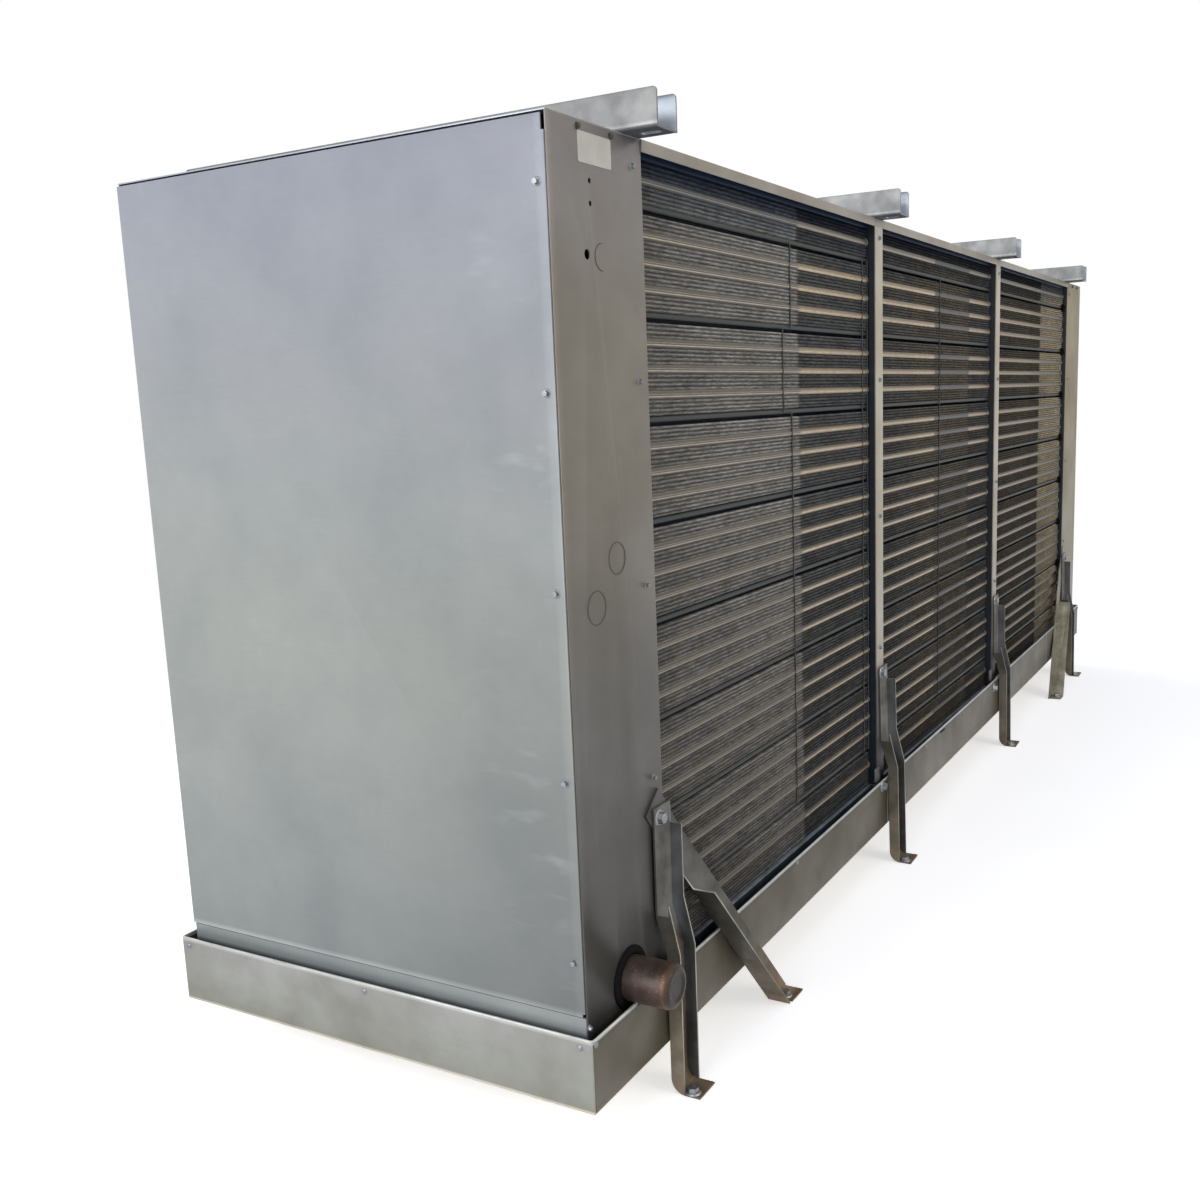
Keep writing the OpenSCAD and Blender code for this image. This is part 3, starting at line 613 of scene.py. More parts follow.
# Turns a tree's instances to look along the seeds' "facing" vectors, after a turn about their own axis
def faceOut(tree, shape, spin):
    facing = addNode(tree, "GeometryNodeInputNamedAttribute", {"Name": "facing"}, data_type="FLOAT_VECTOR")
    aimed = addNode(tree, "FunctionNodeAlignRotationToVector", {"Vector": facing}, axis="Z")
    ownTurn = addNode(tree, "FunctionNodeAxisAngleToRotation", {"Axis": (0.0, 0.0, 1.0), "Angle": spin})
    return addNode(tree, "GeometryNodeInstanceOnPoints", {
        "Points": take["Geometry"], "Instance": shape,
        "Rotation": addNode(tree, "FunctionNodeRotateRotation", (aimed, ownTurn), rotation_space="LOCAL")})


def raised(tree, shape, height):
    return addNode(tree, "GeometryNodeTransform", {
        "Geometry": shape, "Translation": addNode(tree, "CombineXYZ", (None, None, height))})


# Fasteners: a washer and a hexagon head on each seed point, facing along its "facing" vector
screwTree, take = newTree("hexWasherScrews", {
    "Washer": "Float", "Washer thickness": "Float", "Head": "Float", "Head height": "Float",
    "Finish": "Material"})
washer, head = [addNode(screwTree, "GeometryNodeMeshCone", {
    "Vertices": corners, "Radius Bottom": take[part], "Depth": take[depth],
    "Radius Top": reckon(screwTree, take[part], ("MULTIPLY", taper))}, fill_type="NGON")
    for part, depth, corners, taper in (
        ("Washer", "Washer thickness", 20, 0.86), ("Head", "Head height", 6, 0.88))]
screw = addNode(screwTree, "GeometryNodeJoinGeometry", {
    0: [washer, raised(screwTree, head, take["Washer thickness"])]})
spin = addNode(screwTree, "FunctionNodeRandomValue", {2: 0.0, 3: 1.05, "Seed": 3}, 1, data_type="FLOAT")
closeTree(screwTree, faceOut(screwTree, screw, spin), take["Finish"])

# Pop rivets: a flat dome with a proud stem end
rivetTree, take = newTree("popRivets", {"Radius": "Float", "Height": "Float", "Finish": "Material"})
dome = addNode(rivetTree, "GeometryNodeTransform", {
    "Geometry": addNode(rivetTree, "GeometryNodeMeshUVSphere", {"Segments": 14, "Rings": 8, "Radius": 1.0}),
    "Scale": addNode(rivetTree, "CombineXYZ", (take["Radius"], take["Radius"], take["Height"]))})
stem = addNode(rivetTree, "GeometryNodeMeshCylinder", {
    "Vertices": 8, "Radius": reckon(rivetTree, take["Radius"], ("MULTIPLY", 0.3)), "Depth": take["Height"]},
    fill_type="NGON")
rivet = addNode(rivetTree, "GeometryNodeJoinGeometry", {
    0: [dome, raised(rivetTree, stem, reckon(rivetTree, take["Height"], ("MULTIPLY", 0.75)))]})
closeTree(rivetTree, faceOut(rivetTree, rivet, 0.0), take["Finish"])

sizes = {"panel": (6.0, 1.2, 4.4, 4.4), "cover": (5.2, 1.0, 3.8, 3.6), "leg": (13, 2.4, 9.8, 6.5)}
parts = ("Washer", "Washer thickness", "Head", "Head height")
fastener = {size: {part: value * mm for part, value in zip(parts, values)} for size, values in sizes.items()}
fastener["rivet"] = {"Radius": 5 * mm, "Height": 2.4 * mm}


# Each spot is (place, way the head faces)
def screws(name, size, finish, spots):
    grow(name, rivetTree if size == "rivet" else screwTree, {**fastener[size], "Finish": finish},
         [place for place, way in spots], [way for place, way in spots], smooth=30)


# The same spots on the fan side
def mirrored(spots):
    return [((x, -y, z), north if way == south else way) for (x, y, z), way in spots]


west, east, south, north, up = (-1, 0, 0), (1, 0, 0), (0, -1, 0), (0, 1, 0), (0, 0, 1)
top, coverX, coverY = endHigh.z, coverLow.x, coverLow.y
endRow = {"drops": [79, 333, 587, 841, 1095], "y": endLow.y + 13 * mm}
coverRow = {"drops": [34, 320, 606, 892], "x": -coverHigh.x + 26 * mm, "cornerX": 1.7435, "cornerZ": 0.194,
            "backY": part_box("fan_panel")[1].y}
coverDrops = [top - drop * mm for drop in coverRow["drops"]]
screws("endPanelScrews", "panel", plain["platedZinc"], [
    ((-side * endLow.x, endRow["y"], top - drop * mm), (side, 0, 0))
    for side in (-1, 1) for drop in endRow["drops"]])
coverSpots = [((side * coverRow["x"], coverY, z), south) for side in (-1, 1) for z in coverDrops]
for mullion in ("mullion_1", "mullion_2"):
    low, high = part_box(mullion)
    coverSpots += [(((low.x + high.x) / 2, low.y, z), south) for z in coverDrops]
coverSpots += [((side * coverRow["cornerX"], coverY, coverRow["cornerZ"]), south) for side in (-1, 1)]
coverSpots += [((side * coverRow["x"], -coverY, z), north) for side in (-1, 1) for z in coverDrops]
coverSpots += [((x, coverRow["backY"], z), north) for x in (-0.5115, 0.5115) for z in coverDrops]
screws("coverScrews", "cover", plain["dullPlatedZinc"], coverSpots)
screws("topScrews", "cover", plain["darkScrew"],
       [((side * x, coverY, 1.3805), south) for side in (-1, 1) for x in (1.6755, 1.594)])
panRivets = {"ends": {west: (-1.764, 0.174), east: (1.764, 0.210)}, "y": (-0.381, 0.004, 0.386),
             "front": {-1.755: 0.1796, -1.034: 0.1867, -0.210: 0.1907, 0.1285: 0.1906, 0.980: 0.200,
                       1.755: 0.214}}
screws("panRivets", "rivet", plain["dullPlatedZinc"], [
    ((x, y, z), way) for way, (x, z) in panRivets["ends"].items() for y in panRivets["y"]] + [
    ((x, y, z), way) for x, z in panRivets["front"].items() for y, way in ((-0.402, south), (0.402, north))])
bolts = [((x, -0.391, z), south)
         for x, z in ((-1.535, 0.431), (-0.5115, 0.437), (0.5115, 0.437), (1.537, 0.432))]
bolts += [((x, -0.436, 0.003), up) for x in (-1.541, -0.4847, 0.5383, 1.541)]
bolts += [((x, -0.441, 0.003), up) for x in (-1.1924, 1.1924)]
bolts += [((x, -0.402, z), south) for x, z in ((-0.538, 0.1876), (0.4693, 0.1877))]
screws("legBolts", "leg", plain["platedZinc"], bolts + mirrored(bolts))
print("fasteners done")


def meshOf(name, work, *finishes):
    mesh = bpy.data.meshes.new(name)
    work.to_mesh(mesh)
    work.free()
    for finish in finishes:
        mesh.materials.append(finish)
    return mesh


folding = {"merge": 0.02 * mm, "flat": math.radians(0.2), "corner": math.radians(38), "reach": 0.4 * mm,
           "thin": 1.4, "sharp": 0.5, "cutEnd": (0.7, 1.2), "segments": 3, "smooth": 25}


# Copies a sheet-metal node, rounds its folds and eases its cut edges, and stands in for the node. A sheet
# whose fold is 0 keeps its corners. "round" lists edges rounded as folds, each as (axis, value) pairs that both
# ends share; "edge" is the finish of the cut ends of its flanges, with a painted highlight. pick gives the
# finish of each other face, often a lit or shaded copy of one finish.
def foldedCopy(name, node, sheet, finishes, pick=lambda normal, middle: 0):
    work = bmesh.new()
    work.from_mesh(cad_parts[node].data)
    bmesh.ops.remove_doubles(work, verts=work.verts, dist=folding["merge"])
    if sheet["fold"]:
        bmesh.ops.dissolve_limit(work, angle_limit=folding["flat"], verts=[], edges=work.edges)
    for face in work.faces:
        face.smooth = True
        face.material_index = pick(face.normal, face.calc_center_median())
        across = min(face.edges, key=lambda edge: edge.calc_length())
        run = abs(across.verts[0].co.x - across.verts[1].co.x)
        sharp = any(edge.calc_face_angle(0.0) > folding["sharp"] for edge in face.edges if edge != across)
        least, most = folding["cutEnd"]
        # the cut end of a flange's sheet, and no facet of a bend
        if "edge" in sheet and sharp and least * across.calc_length() < run < most * sheet["thickness"]:
            face.material_index = sheet["edge"]
    weight = work.edges.layers.float.new("bevel_weight_edge")
    for edge in work.edges if sheet["fold"] else ():
        if len(edge.link_faces) != 2 or edge.calc_face_angle() < folding["corner"]:
            continue
        width = min(2 * face.calc_area() / face.calc_perimeter() for face in edge.link_faces)
        thin = width < folding["thin"] * sheet["thickness"]
        rounded = any(all(abs(vert.co[axis] - value) < folding["reach"]
                          for vert in edge.verts for axis, value in line) for line in sheet.get("round", []))
        radius = sheet["fold"] if edge.calc_face_angle_signed() > 0 else sheet["inner"]
        edge[weight] = 1.0 if rounded else (sheet["cut"] if thin else radius) / sheet["fold"]
    mesh = meshOf(name, work, *finishes)
    if sheet["fold"]:
        holder = addHolder(name, mesh)
        bevel = holder.modifiers.new("folds", "BEVEL")
        bevel.width, bevel.segments, bevel.limit_method = sheet["fold"], folding["segments"], "WEIGHT"
        bevel.use_clamp_overlap, bevel.harden_normals = False, True
        mesh = settle(holder)
    else:
        mesh.set_sharp_from_angle(angle=math.radians(folding["smooth"]))
    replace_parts(placePiece(name, mesh), node)


squareOn = 0.6  # a face looks along an axis when its normal's part along it is more than this
leg = {"flange": 8 * mm, "lean": 0.08, "top": 0.45}  # the near flange lies within this and the leg's lean


# Leg faces: 0 for the web; 1 for faces looking along x, which take the copy in painted shade
def webOrSide(normal, middle):
    return int(abs(normal.x) >= squareOn)


# 2 for the near flange's outer face, which takes the copy with a brown painted reflection
def footOrWeb(edge):
    def pick(normal, middle):
        near = normal.x < -squareOn and middle.x < edge + leg["lean"] * (leg["top"] - middle.z)
        return 2 if near else webOrSide(normal, middle)
    return pick


# Rail faces: 2 for faces looking down, in painted shade; 1 for the flange faces inside the channel, painted
# light; 0 for the rest
def railSide(centre):
    def pick(normal, middle):
        inner = (normal.x < -squareOn and middle.x > centre) or (normal.x > squareOn and middle.x < centre)
        return 2 if normal.z < -squareOn else int(inner)
    return pick


# Pan faces: 2 for the inside, in painted shade; 1 for the ends and level faces, the lit copy; 0 for faces
# looking along y, the shaded copy
def panSide(normal, middle):
    within = abs(middle.x) < pan["insideX"] and abs(middle.y) < pan["insideY"]
    return 2 if within and normal.z > pan["facesDown"] else int(abs(normal.y) <= squareOn)


plate = {"thickness": 3 * mm, "fold": 0.0, "edge": 3}
thinSheet = {"thickness": 2 * mm, "fold": 1.6 * mm, "inner": 0.5 * mm, "cut": 0.35 * mm}
corner = {"thickness": 3 * mm, "fold": 1.4 * mm, "inner": 0.5 * mm, "cut": 0.5 * mm}
railSheet = {"thickness": 3 * mm, "fold": 5.5 * mm, "inner": 2.6 * mm, "cut": 0.5 * mm}
legFinishes = [zinc["LegWeb"], zinc["LegSideShade"], zinc["LegNearFlangeLit"], zinc["CutEdgeHighlight"]]
for n in (1, 2, 3, 4):
    foldedCopy(f"shippingLeg_{n}", f"leg_{n}", plate, legFinishes,
               footOrWeb(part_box(f"leg_{n}")[0].x + leg["flange"]))
foldedCopy("shippingLegsFanSide", "fan_side_legs", plate, legFinishes, webOrSide)
# The far brace, at positive x, takes the lit copy of the brace finish
for name, node in (("bracesCoilSide", "braces_coil_side"), ("bracesFanSide", "braces_fan_side")):
    foldedCopy(name, node, {**plate, "edge": 2},
               [zinc["Brace"], zinc["BraceLit"], zinc["CutEdgeHighlight"]], lambda normal, middle: int(middle.x > 0))
for n in (1, 2, 3, 4):
    low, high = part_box(f"hanger_rail_{n}")
    foldedCopy(f"hangerRail_{n}", f"hanger_rail_{n}", railSheet,
               [zinc["Rail"], zinc["RailInnerLit"], zinc["RailUnderShade"]], railSide((low.x + high.x) / 2))
for name, node in (("endPanelLow", "end_panel_left"), ("endPanelHigh", "end_panel_right")):
    foldedCopy(name, node, corner, [zinc["EndPanel"]])
for name, node, slot, part, side, face in (
        ("headerCoverLow", "header_cover_left", "galvanised_cover", "Cover", 1, 1),
        ("headerCoverHigh", "header_cover_right", "galvanised_cover", "FarCoverLit", -1, 1),
        ("fanSideCoverLow", "fan_side_cover_left", "galvanised_bright", "Panel", 1, -1),
        ("fanSideCoverHigh", "fan_side_cover_right", "galvanised_bright", "Panel", -1, -1)):
    outerFold = [(0, side * coverX), (1, face * coverY)]
    foldedCopy(name, node, {**thinSheet, "round": [outerFold]}, [zinc[part]])
for n in (1, 2):
    foldedCopy(f"bayMullion_{n}", f"mullion_{n}",
               {**corner, "inner": 0.4 * mm, "cut": 0.4 * mm}, [zinc["Frame"]])
foldedCopy("roofSheet", "roof_panel", thinSheet, [zinc["Roof"], zinc["Panel"]],
           lambda normal, middle: int(abs(normal.y) <= squareOn))
foldedCopy("drainPanShell", "drain_pan", {**thinSheet, "fold": 3 * mm, "inner": 1 * mm},
           [zinc["PanFrontShaded"], zinc["PanEndLit"], zinc["RecessShade"]], panSide)
sillEnd = 1.6
foldedCopy("sillsAndSkirts", "base_frame", {**corner, "thickness": 1 * mm},
           [zinc["Skirt"], zinc["Sill"]], lambda normal, middle: int(abs(middle.x) < sillEnd))
for n in bays:
    foldedCopy(f"fanRing_{n}", f"fan_ring_{n}",
               {**corner, "fold": 1.3 * mm, "cut": 1.3 * mm}, [zinc["Panel"]])
print("sheets done")

# Hems: the pan's rolled rim, in a pale finish that paints a highlight along it, and the raised outlines of its
# lapped joints
hem = {"radius": 2.2 * mm, "x": 1.763, "y": 0.4015, "lift": 0.2 * mm}
lap = {"x": (-0.504, 1.193), "y": 0.4022, "top": 4 * mm, "bottom": 105 * mm, "radius": 0.9 * mm}
corners = [(-1, -1), (1, -1), (1, 1), (-1, 1)]
rimPath = []
for (sx, sy), (ex, ey) in zip(corners, corners[1:] + corners[:1]):
    for t in (0.001, 0.5, 0.999) if sx != ex else (0.004, 0.5, 0.996):
        x, y = hem["x"] * (sx + (ex - sx) * t), hem["y"] * (sy + (ey - sy) * t)
        rimPath.append((x, y, rimAt(x) + hem["lift"]))
wires("panHem", [(rimPath, True)], hem["radius"], zinc["Hem"], sides=10)
wires("panLaps", [([(x, side * lap["y"], rimAt(x) - drop) for drop in (lap["top"], lap["bottom"])], False)
                  for x in lap["x"] for side in (-1, 1)], lap["radius"],
      plain["dullPlatedZinc"])

# Knockouts: thin half-sheared rings in the cover, each (x, z, radius in mm, first angle, last angle)
knocks = [(-1.626, 1.225, 17.5, 90, 270), (-1.618, 0.828, 22.0, 0, 360), (-1.676, 0.768, 23.0, 0, 360)]
wires("knockoutRings", [circle((x, z), radius * mm, coverY - 0.2 * mm, start, end)
                        for x, z, radius, start, end in knocks], 0.8 * mm,
      plain["knockoutGroove"])


# Flat plates on the X-Z plane between two depths, each a box (low x, low z, high x, high z) with round corners
def cutPlates(name, boxes, radius, depths, finish, steps=5):
    work = bmesh.new()
    for x0, z0, x1, z1 in boxes:
        centres = [(x1 - radius, z1 - radius), (x0 + radius, z1 - radius), (x0 + radius, z0 + radius),
                   (x1 - radius, z0 + radius)]
        near, far = [[work.verts.new(orbit(centre, radius, depth, math.radians(90 * (quarter + k / steps))))
                      for quarter, centre in enumerate(centres) for k in range(steps + 1)] for depth in depths]
        work.faces.new(near)
        work.faces.new(far[::-1])
        for k in range(len(near)):
            work.faces.new([near[k - 1], far[k - 1], far[k], near[k]])
    bmesh.ops.recalc_face_normals(work, faces=work.faces)
    placePiece(name, meshOf(name, work, finish))


cutPlates("blankLabel", [(-1.676, 1.338, -1.594, 1.376)], 2 * mm, (coverY, coverY - 0.6 * mm),
          plain["blankLabel"])
# The pan's slot: a thin black plate, painted shade where the hole shows the dark inside
cutPlates("panSlotShade", [(-0.088, 0.1925, -0.048, 0.1975)], 2 * mm, (-0.4018, -0.4026),
          plain["blackRubber"])
cutPlates("mullionTabs", [(-0.552, 0.196, -0.524, 0.228), (0.462, 0.207, 0.490, 0.238)], 4 * mm,
          (-0.388, -0.3905), plain["dullPlatedZinc"])
print("trim done")


# Turns a profile of (radius, y) round an axis along Y. Its vertices keep how far along the profile they lie.
def turned(name, profile, centre, finish, loop=False, steps=64):
    work = bmesh.new()
    share = work.verts.layers.float.new("along")
    rings = []
    for n, (radius, y) in enumerate(profile):
        count = steps if radius > 1e-6 else 1
        ring = [work.verts.new(orbit(centre, radius, y, math.tau * k / steps)) for k in range(count)]
        for v in ring:
            v[share] = n / (len(profile) - 1)
        rings.append(ring)
    for a, b in zip(rings, rings[1:] + (rings[:1] if loop else [])):
        for k in range(steps):
            quad = [a[k % len(a)], a[(k + 1) % len(a)], b[(k + 1) % len(b)], b[k % len(b)]]
            work.faces.new(list(dict.fromkeys(quad)))
    bmesh.ops.recalc_face_normals(work, faces=work.faces)
    mesh = meshOf(name, work, finish)
    smoothen(mesh, 35)
    return placePiece(name, mesh)


# Aged copper: brown oxide with darker heat marks, a painted highlight in a lighter band at the shoulder, and
# bright flecks
agedCopper, tree, place = newMaterial("agedCopper")
oxideAndShoulderHighlight = {0.0: "#2c2621", 0.12: "#302923", 0.20: "#1e1815", 0.28: "#342d27", 0.40: "#362d27", 0.50: "#4a372b",
         0.56: "#5d4233", 0.62: "#4e3d34", 0.70: "#4c403b", 0.82: "#4e443f", 0.9: "#4a403b"}
along = addNode(tree, "Attribute", output="Fac", attribute_name="along")
noise = addNode(tree, "TexNoise", {"Vector": place, "Scale": 38.0, "Detail": 5.0, "Roughness": 0.65})
speck = addNode(tree, "TexNoise", {"Vector": place, "Scale": 330.0, "Detail": 1.0})
level = reckon(tree, addNode(tree, "MapRange", (noise, 0.3, 0.7, 0.6, 1.3)),
               ("MULTIPLY", addNode(tree, "MapRange", (speck, 0.66, 0.74, 1.0, 2.4))))
tone = levelled(tree, addNode(tree, "ValToRGB", (along,), stops=oxideAndShoulderHighlight), level)
closeMaterial(tree, {"Base Color": tone, "Metallic": 0.55,
                     "Roughness": addNode(tree, "MapRange", (noise, 0.3, 0.7, 0.36, 0.55))},
              (noise, 0.4 * mm, 0.5))

# The suction stub's dished cap, shoulder and wall, and the rubber ring round it
stub = {"centre": (-1.629, 0.219), "radius": 33.35 * mm, "end": -0.463, "shoulder": 9 * mm, "dish": 2 * mm,
        "ring": 20 * mm, "wall": 0.6 * mm, "cover": -0.389, "inside": -0.265}
r, end, s, wall = stub["radius"], stub["end"], stub["shoulder"], stub["wall"]
profile = [(0.0, end + stub["dish"]), (stub["ring"] - 2 * mm, end + stub["dish"]),
           (stub["ring"], end + 0.6 * mm), (stub["ring"] + 1.5 * mm, end)]
profile += [(r - s + s * math.sin(math.radians(a)), end + s - s * math.cos(math.radians(a)))
            for a in (0, 22, 45, 68, 90)]
profile += [(r, end + s + 6 * mm), (r, end + 40 * mm), (r, stub["cover"]), (r - wall, stub["cover"]),
            (r - wall, stub["inside"]), (0.0, stub["inside"])]
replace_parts(turned("suctionStub", profile, stub["centre"], agedCopper), "suction_stub")
ring = {"inner": 33.1 * mm, "outer": 46.4 * mm, "thick": 4.5 * mm, "back": -0.3845, "front": -0.386}
ringMiddle, ringHalf = (ring["inner"] + ring["outer"]) / 2, (ring["outer"] - ring["inner"]) / 2
bulge = [math.radians(a) for a in range(0, 181, 20)]
profile = [(ringMiddle - ringHalf * math.cos(a), ring["front"] - ring["thick"] * math.sin(a)) for a in bulge]
profile = [(ring["inner"], ring["back"]), *profile, (ring["outer"], ring["back"])]
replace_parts(turned("stubGrommet", profile, stub["centre"], plain["blackRubber"], loop=True),
            "stub_grommet")

# Fans: five cambered, twisted blades on a domed hub, a ribbed motor behind, and a wire guard over each ring
fan = {"z": 0.7675, "tip": 376 * mm, "root": 66 * mm, "blades": 5, "chord": (118 * mm, 176 * mm),
       "pitch": (40.0, 21.0), "camber": 0.075, "thickness": 3 * mm, "y": 0.392, "hub": 75 * mm, "start": 0.3,
       "back": 4 * mm, "across": 9, "outwards": 12, "tipTrim": 0.9}
motor = {"ribs": 26, "radius": 98 * mm, "y": 0.245, "rib": (3 * mm, 0.15, 14 * mm)}
guard = {"y": 0.4495, "rings": 13, "inner": 52 * mm, "outer": 384 * mm, "wire": 1.5 * mm, "spokes": 8,
         "spokeWire": 2.4 * mm, "rivets": 16, "rivetRadius": 0.404, "rivetY": 0.388}
hub = fan["hub"]
hubProfile = [(0.0, 0.366), (hub - 4 * mm, 0.366), (hub, 0.370), (hub, 0.406), (hub - 5 * mm, 0.414),
              (hub - 22 * mm, 0.419), (24 * mm, 0.421), (22 * mm, 0.4235), (0.0, 0.4235)]
bellProfile = [(0.0, 0.3655), (30 * mm, 0.3655), (70 * mm, 0.358), (94 * mm, 0.345), (99 * mm, 0.335),
               (99 * mm, 0.325), (90 * mm, 0.325), (0.0, 0.325)]
spokeProfile = [(guard["inner"] - 6 * mm, 0.4525), (0.2, 0.4530), (0.380, 0.4525), (0.3905, 0.4500),
                (0.3925, 0.4440), (0.3925, 0.4240)]
ribTree, take = newTree("motorRibs", {"Size": "Vector", "Finish": "Material"})
rib = addNode(ribTree, "GeometryNodeMeshCube", {"Size": take["Size"]})
closeTree(ribTree, faceOut(ribTree, rib, 0.0), take["Finish"])


# Where a blade's grid point lies: t runs from root to tip, v from one edge to the other
def bladePoint(centre, blade, t, v):
    radius = fan["root"] + (fan["tip"] - fan["root"]) * t
    chord = fan["chord"][0] + (fan["chord"][1] - fan["chord"][0]) * t
    if t == 1:
        chord *= fan["tipTrim"]
    pitch = math.radians(fan["pitch"][0] + (fan["pitch"][1] - fan["pitch"][0]) * t)
    bow = fan["camber"] * chord * (1 - 4 * v * v)
    sweep = v * chord * math.cos(pitch) - bow * math.sin(pitch)
    angle = math.tau * blade / fan["blades"] + fan["start"] + sweep / radius
    y = fan["y"] + v * chord * math.sin(pitch) + bow * math.cos(pitch) - fan["back"]
    return orbit(centre, radius, y, angle)


def evenTurns(count):
    return [math.tau * (k + 0.5) / count for k in range(count)]


for n in bays:
    low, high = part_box(f"fan_{n}")
    centre = ((low.x + high.x) / 2, fan["z"])
    work = bmesh.new()
    for blade in range(fan["blades"]):
        grid = [[work.verts.new(bladePoint(centre, blade, i / (fan["outwards"] - 1),
                                           j / (fan["across"] - 1) - 0.5))
                 for j in range(fan["across"])] for i in range(fan["outwards"])]
        for near, far in zip(grid, grid[1:]):
            for j in range(fan["across"] - 1):
                work.faces.new([near[j], near[j + 1], far[j + 1], far[j]])
    bmesh.ops.recalc_face_normals(work, faces=work.faces)
    bmesh.ops.solidify(work, geom=work.faces[:], thickness=fan["thickness"])
    bmesh.ops.recalc_face_normals(work, faces=work.faces)
    mesh = meshOf(f"fanBlades_{n}", work, plain["castAluminium"])
    smoothen(mesh, 40)
    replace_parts(placePiece(f"fanBlades_{n}", mesh), f"fan_{n}")
    turned(f"fanHub_{n}", hubProfile, centre, plain["castAluminium"], steps=48)
    grow(f"motorRibs_{n}", ribTree, {"Size": motor["rib"], "Finish": plain["blackEnamel"]},
         [orbit(centre, motor["radius"], motor["y"], a) for a in evenTurns(motor["ribs"])],
         [orbit((0, 0), 1, 0, a) for a in evenTurns(motor["ribs"])])
    turned(f"motorBells_{n}", bellProfile, centre, plain["blackEnamel"], steps=48)
    step = (guard["outer"] - guard["inner"]) / (guard["rings"] - 1)
    rings = [circle(centre, guard["inner"] + step * k, guard["y"], steps=72) for k in range(guard["rings"])]
    wires(f"guardRings_{n}", rings, guard["wire"], plain["zincWire"])
    spokes = [([orbit(centre, radius, y, a) for radius, y in spokeProfile], False)
              for a in evenTurns(guard["spokes"])]
    wires(f"guardSpokes_{n}", spokes, guard["spokeWire"], plain["zincWire"], sides=8)
    screws(f"ringRivets_{n}", "rivet", plain["dullPlatedZinc"], [
        (orbit(centre, guard["rivetRadius"], guard["rivetY"], a), north) for a in evenTurns(guard["rivets"])])
print("fans and stub done")

# The top rail and the tube sheets take finishes of painted shade, the pan brackets the lit brace copy
finishOf = {"coil_top_rail": zinc["TopRailShade"], "drain_outlet": plain["castBrass"],
            "pan_brackets": zinc["BraceLit"], "fan_panel": zinc["Panel"],
            **{f"motor_{n}": plain["blackEnamel"] for n in bays}}
for name in ("tube_sheet_left", "tube_sheet_right", "tube_support_1", "tube_support_2"):
    finishOf[name] = zinc["RecessShade"]
for name, finish in finishOf.items():
    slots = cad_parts[name].data.materials
    for i in range(len(slots)):
        slots[i] = finish

# Camera, lamps, floor
view = {"spot": (-3.070, -1.241, 1.036), "turn": (79.885, 2.131, -60.514), "lens": 37.15,
        "shift": (-0.0281, 0.0201)}
lens = bpy.data.cameras.new("camera")
lens.lens, lens.sensor_width = view["lens"], 36.0
lens.shift_x, lens.shift_y = view["shift"]
camera = bpy.data.objects.new("camera", lens)
camera.location = view["spot"]
camera.rotation_euler = Euler([math.radians(a) for a in view["turn"]])
bpy.context.scene.collection.objects.link(camera)
bpy.context.scene.camera = camera

# Wide soft lamps: one faces the end panel, one the coil and one the fans
lamps = [("end", (-6.5, 0.6, 2.4), (-1.7, 0.0, 0.8), 4.0, 270, "#fbfaff"),
         ("face", (-1.0, -5.5, 3.0), (0.3, 0.0, 0.7), 3.5, 105, "#fff6ea"),
         ("back", (2.5, 5.0, 3.5), (0.0, 0.0, 0.7), 3.5, 100, "#ffffff")]
for name, spot, target, width, power, colour in lamps:
    light = bpy.data.lights.new(name, "AREA")
    light.size, light.energy, light.color = width, power, linear(colour)[:3]
    lamp = bpy.data.objects.new(name, light)
    lamp.location = spot
    lamp.rotation_euler = (Vector(target) - Vector(spot)).to_track_quat("-Z", "Y").to_euler()
    bpy.context.scene.collection.objects.link(lamp)


# 1 for what the camera, glossy and transmission rays see, 0 for the light that falls on the object
def seenRays(tree):
    rays = addNode(tree, "LightPath", output=None).outputs
    bent = reckon(tree, rays["Is Glossy Ray"], ("ADD", rays["Is Transmission Ray"]))
    return addNode(tree, "Math", (rays["Is Camera Ray"], bent), operation="ADD", use_clamp=True)


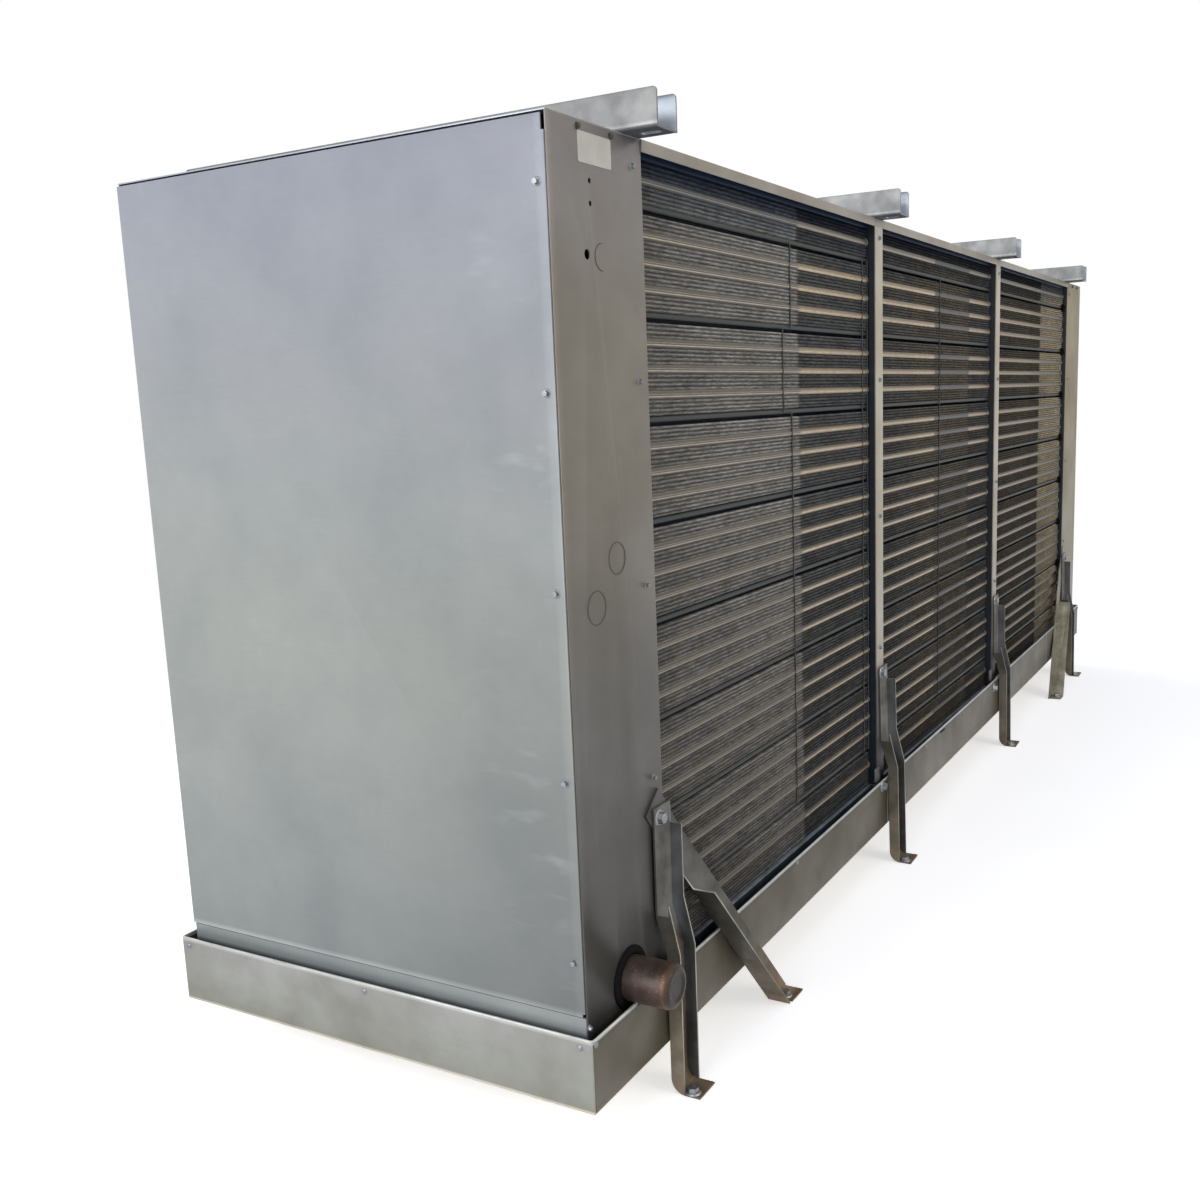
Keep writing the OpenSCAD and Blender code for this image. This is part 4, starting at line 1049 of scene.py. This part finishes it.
world = bpy.data.worlds.new("studio")
bpy.context.scene.world = world
world.use_nodes = True
tree = world.node_tree
tree.nodes.clear()
softSky = addNode(tree, "Background", {"Color": linear("#e6edff"), "Strength": 0.55})
whiteSky = addNode(tree, "Background", {"Color": linear("#ffffff"), "Strength": 1.0})
addNode(tree, "OutputWorld", {"Surface": addNode(tree, "MixShader", (seenRays(tree), softSky, whiteSky))})

# Pale floor: white to the eye, with the object's soft shadow near it, and warm grey to the light it throws back
ground = {"half": 40, "shadowFrom": 1.6, "shadowTo": 3.4, "squash": (0.6, 1.0, 1.0), "glow": 0.5}
floorMesh = bpy.data.meshes.new("floor")
floorMesh.from_pydata([(x * ground["half"], y * ground["half"], 0) for x, y in corners], [], [(0, 1, 2, 3)])
floor = bpy.data.objects.new("floor", floorMesh)
bpy.context.scene.collection.objects.link(floor)
paleFloor, tree, place = newMaterial("paleFloor")
noise = addNode(tree, "TexNoise", {"Vector": place, "Scale": 3.0, "Detail": 4.0})
tone = addNode(tree, "ValToRGB", (noise,), stops={0.3: "#f1f1f0", 0.7: "#f6f6f5"})
glow = addNode(tree, "Emission", {"Color": linear("#ffffff"), "Strength": ground["glow"]})
nearShade = addNode(tree, "AddShader", (addNode(tree, "BsdfDiffuse", {"Color": tone}), glow))
farShade = addNode(tree, "Emission", {"Color": linear("#ffffff"), "Strength": 1.0})
squashed = addNode(tree, "Mapping", {"Vector": place, "Scale": ground["squash"]})
distance = addNode(tree, "VectorMath", (squashed,), "Value", operation="LENGTH")
reach = addNode(tree, "MapRange", (distance, ground["shadowFrom"], ground["shadowTo"]),
                interpolation_type="SMOOTHSTEP")
seen = addNode(tree, "MixShader", (reach, nearShade, farShade))
bounce = addNode(tree, "BsdfDiffuse", {"Color": linear("#bdb3a2")})
addNode(tree, "OutputMaterial", {"Surface": addNode(tree, "MixShader", (seenRays(tree), bounce, seen))})
floorMesh.materials.append(paleFloor)

bpy.context.scene.view_settings.view_transform = "Standard"
print("scene done")
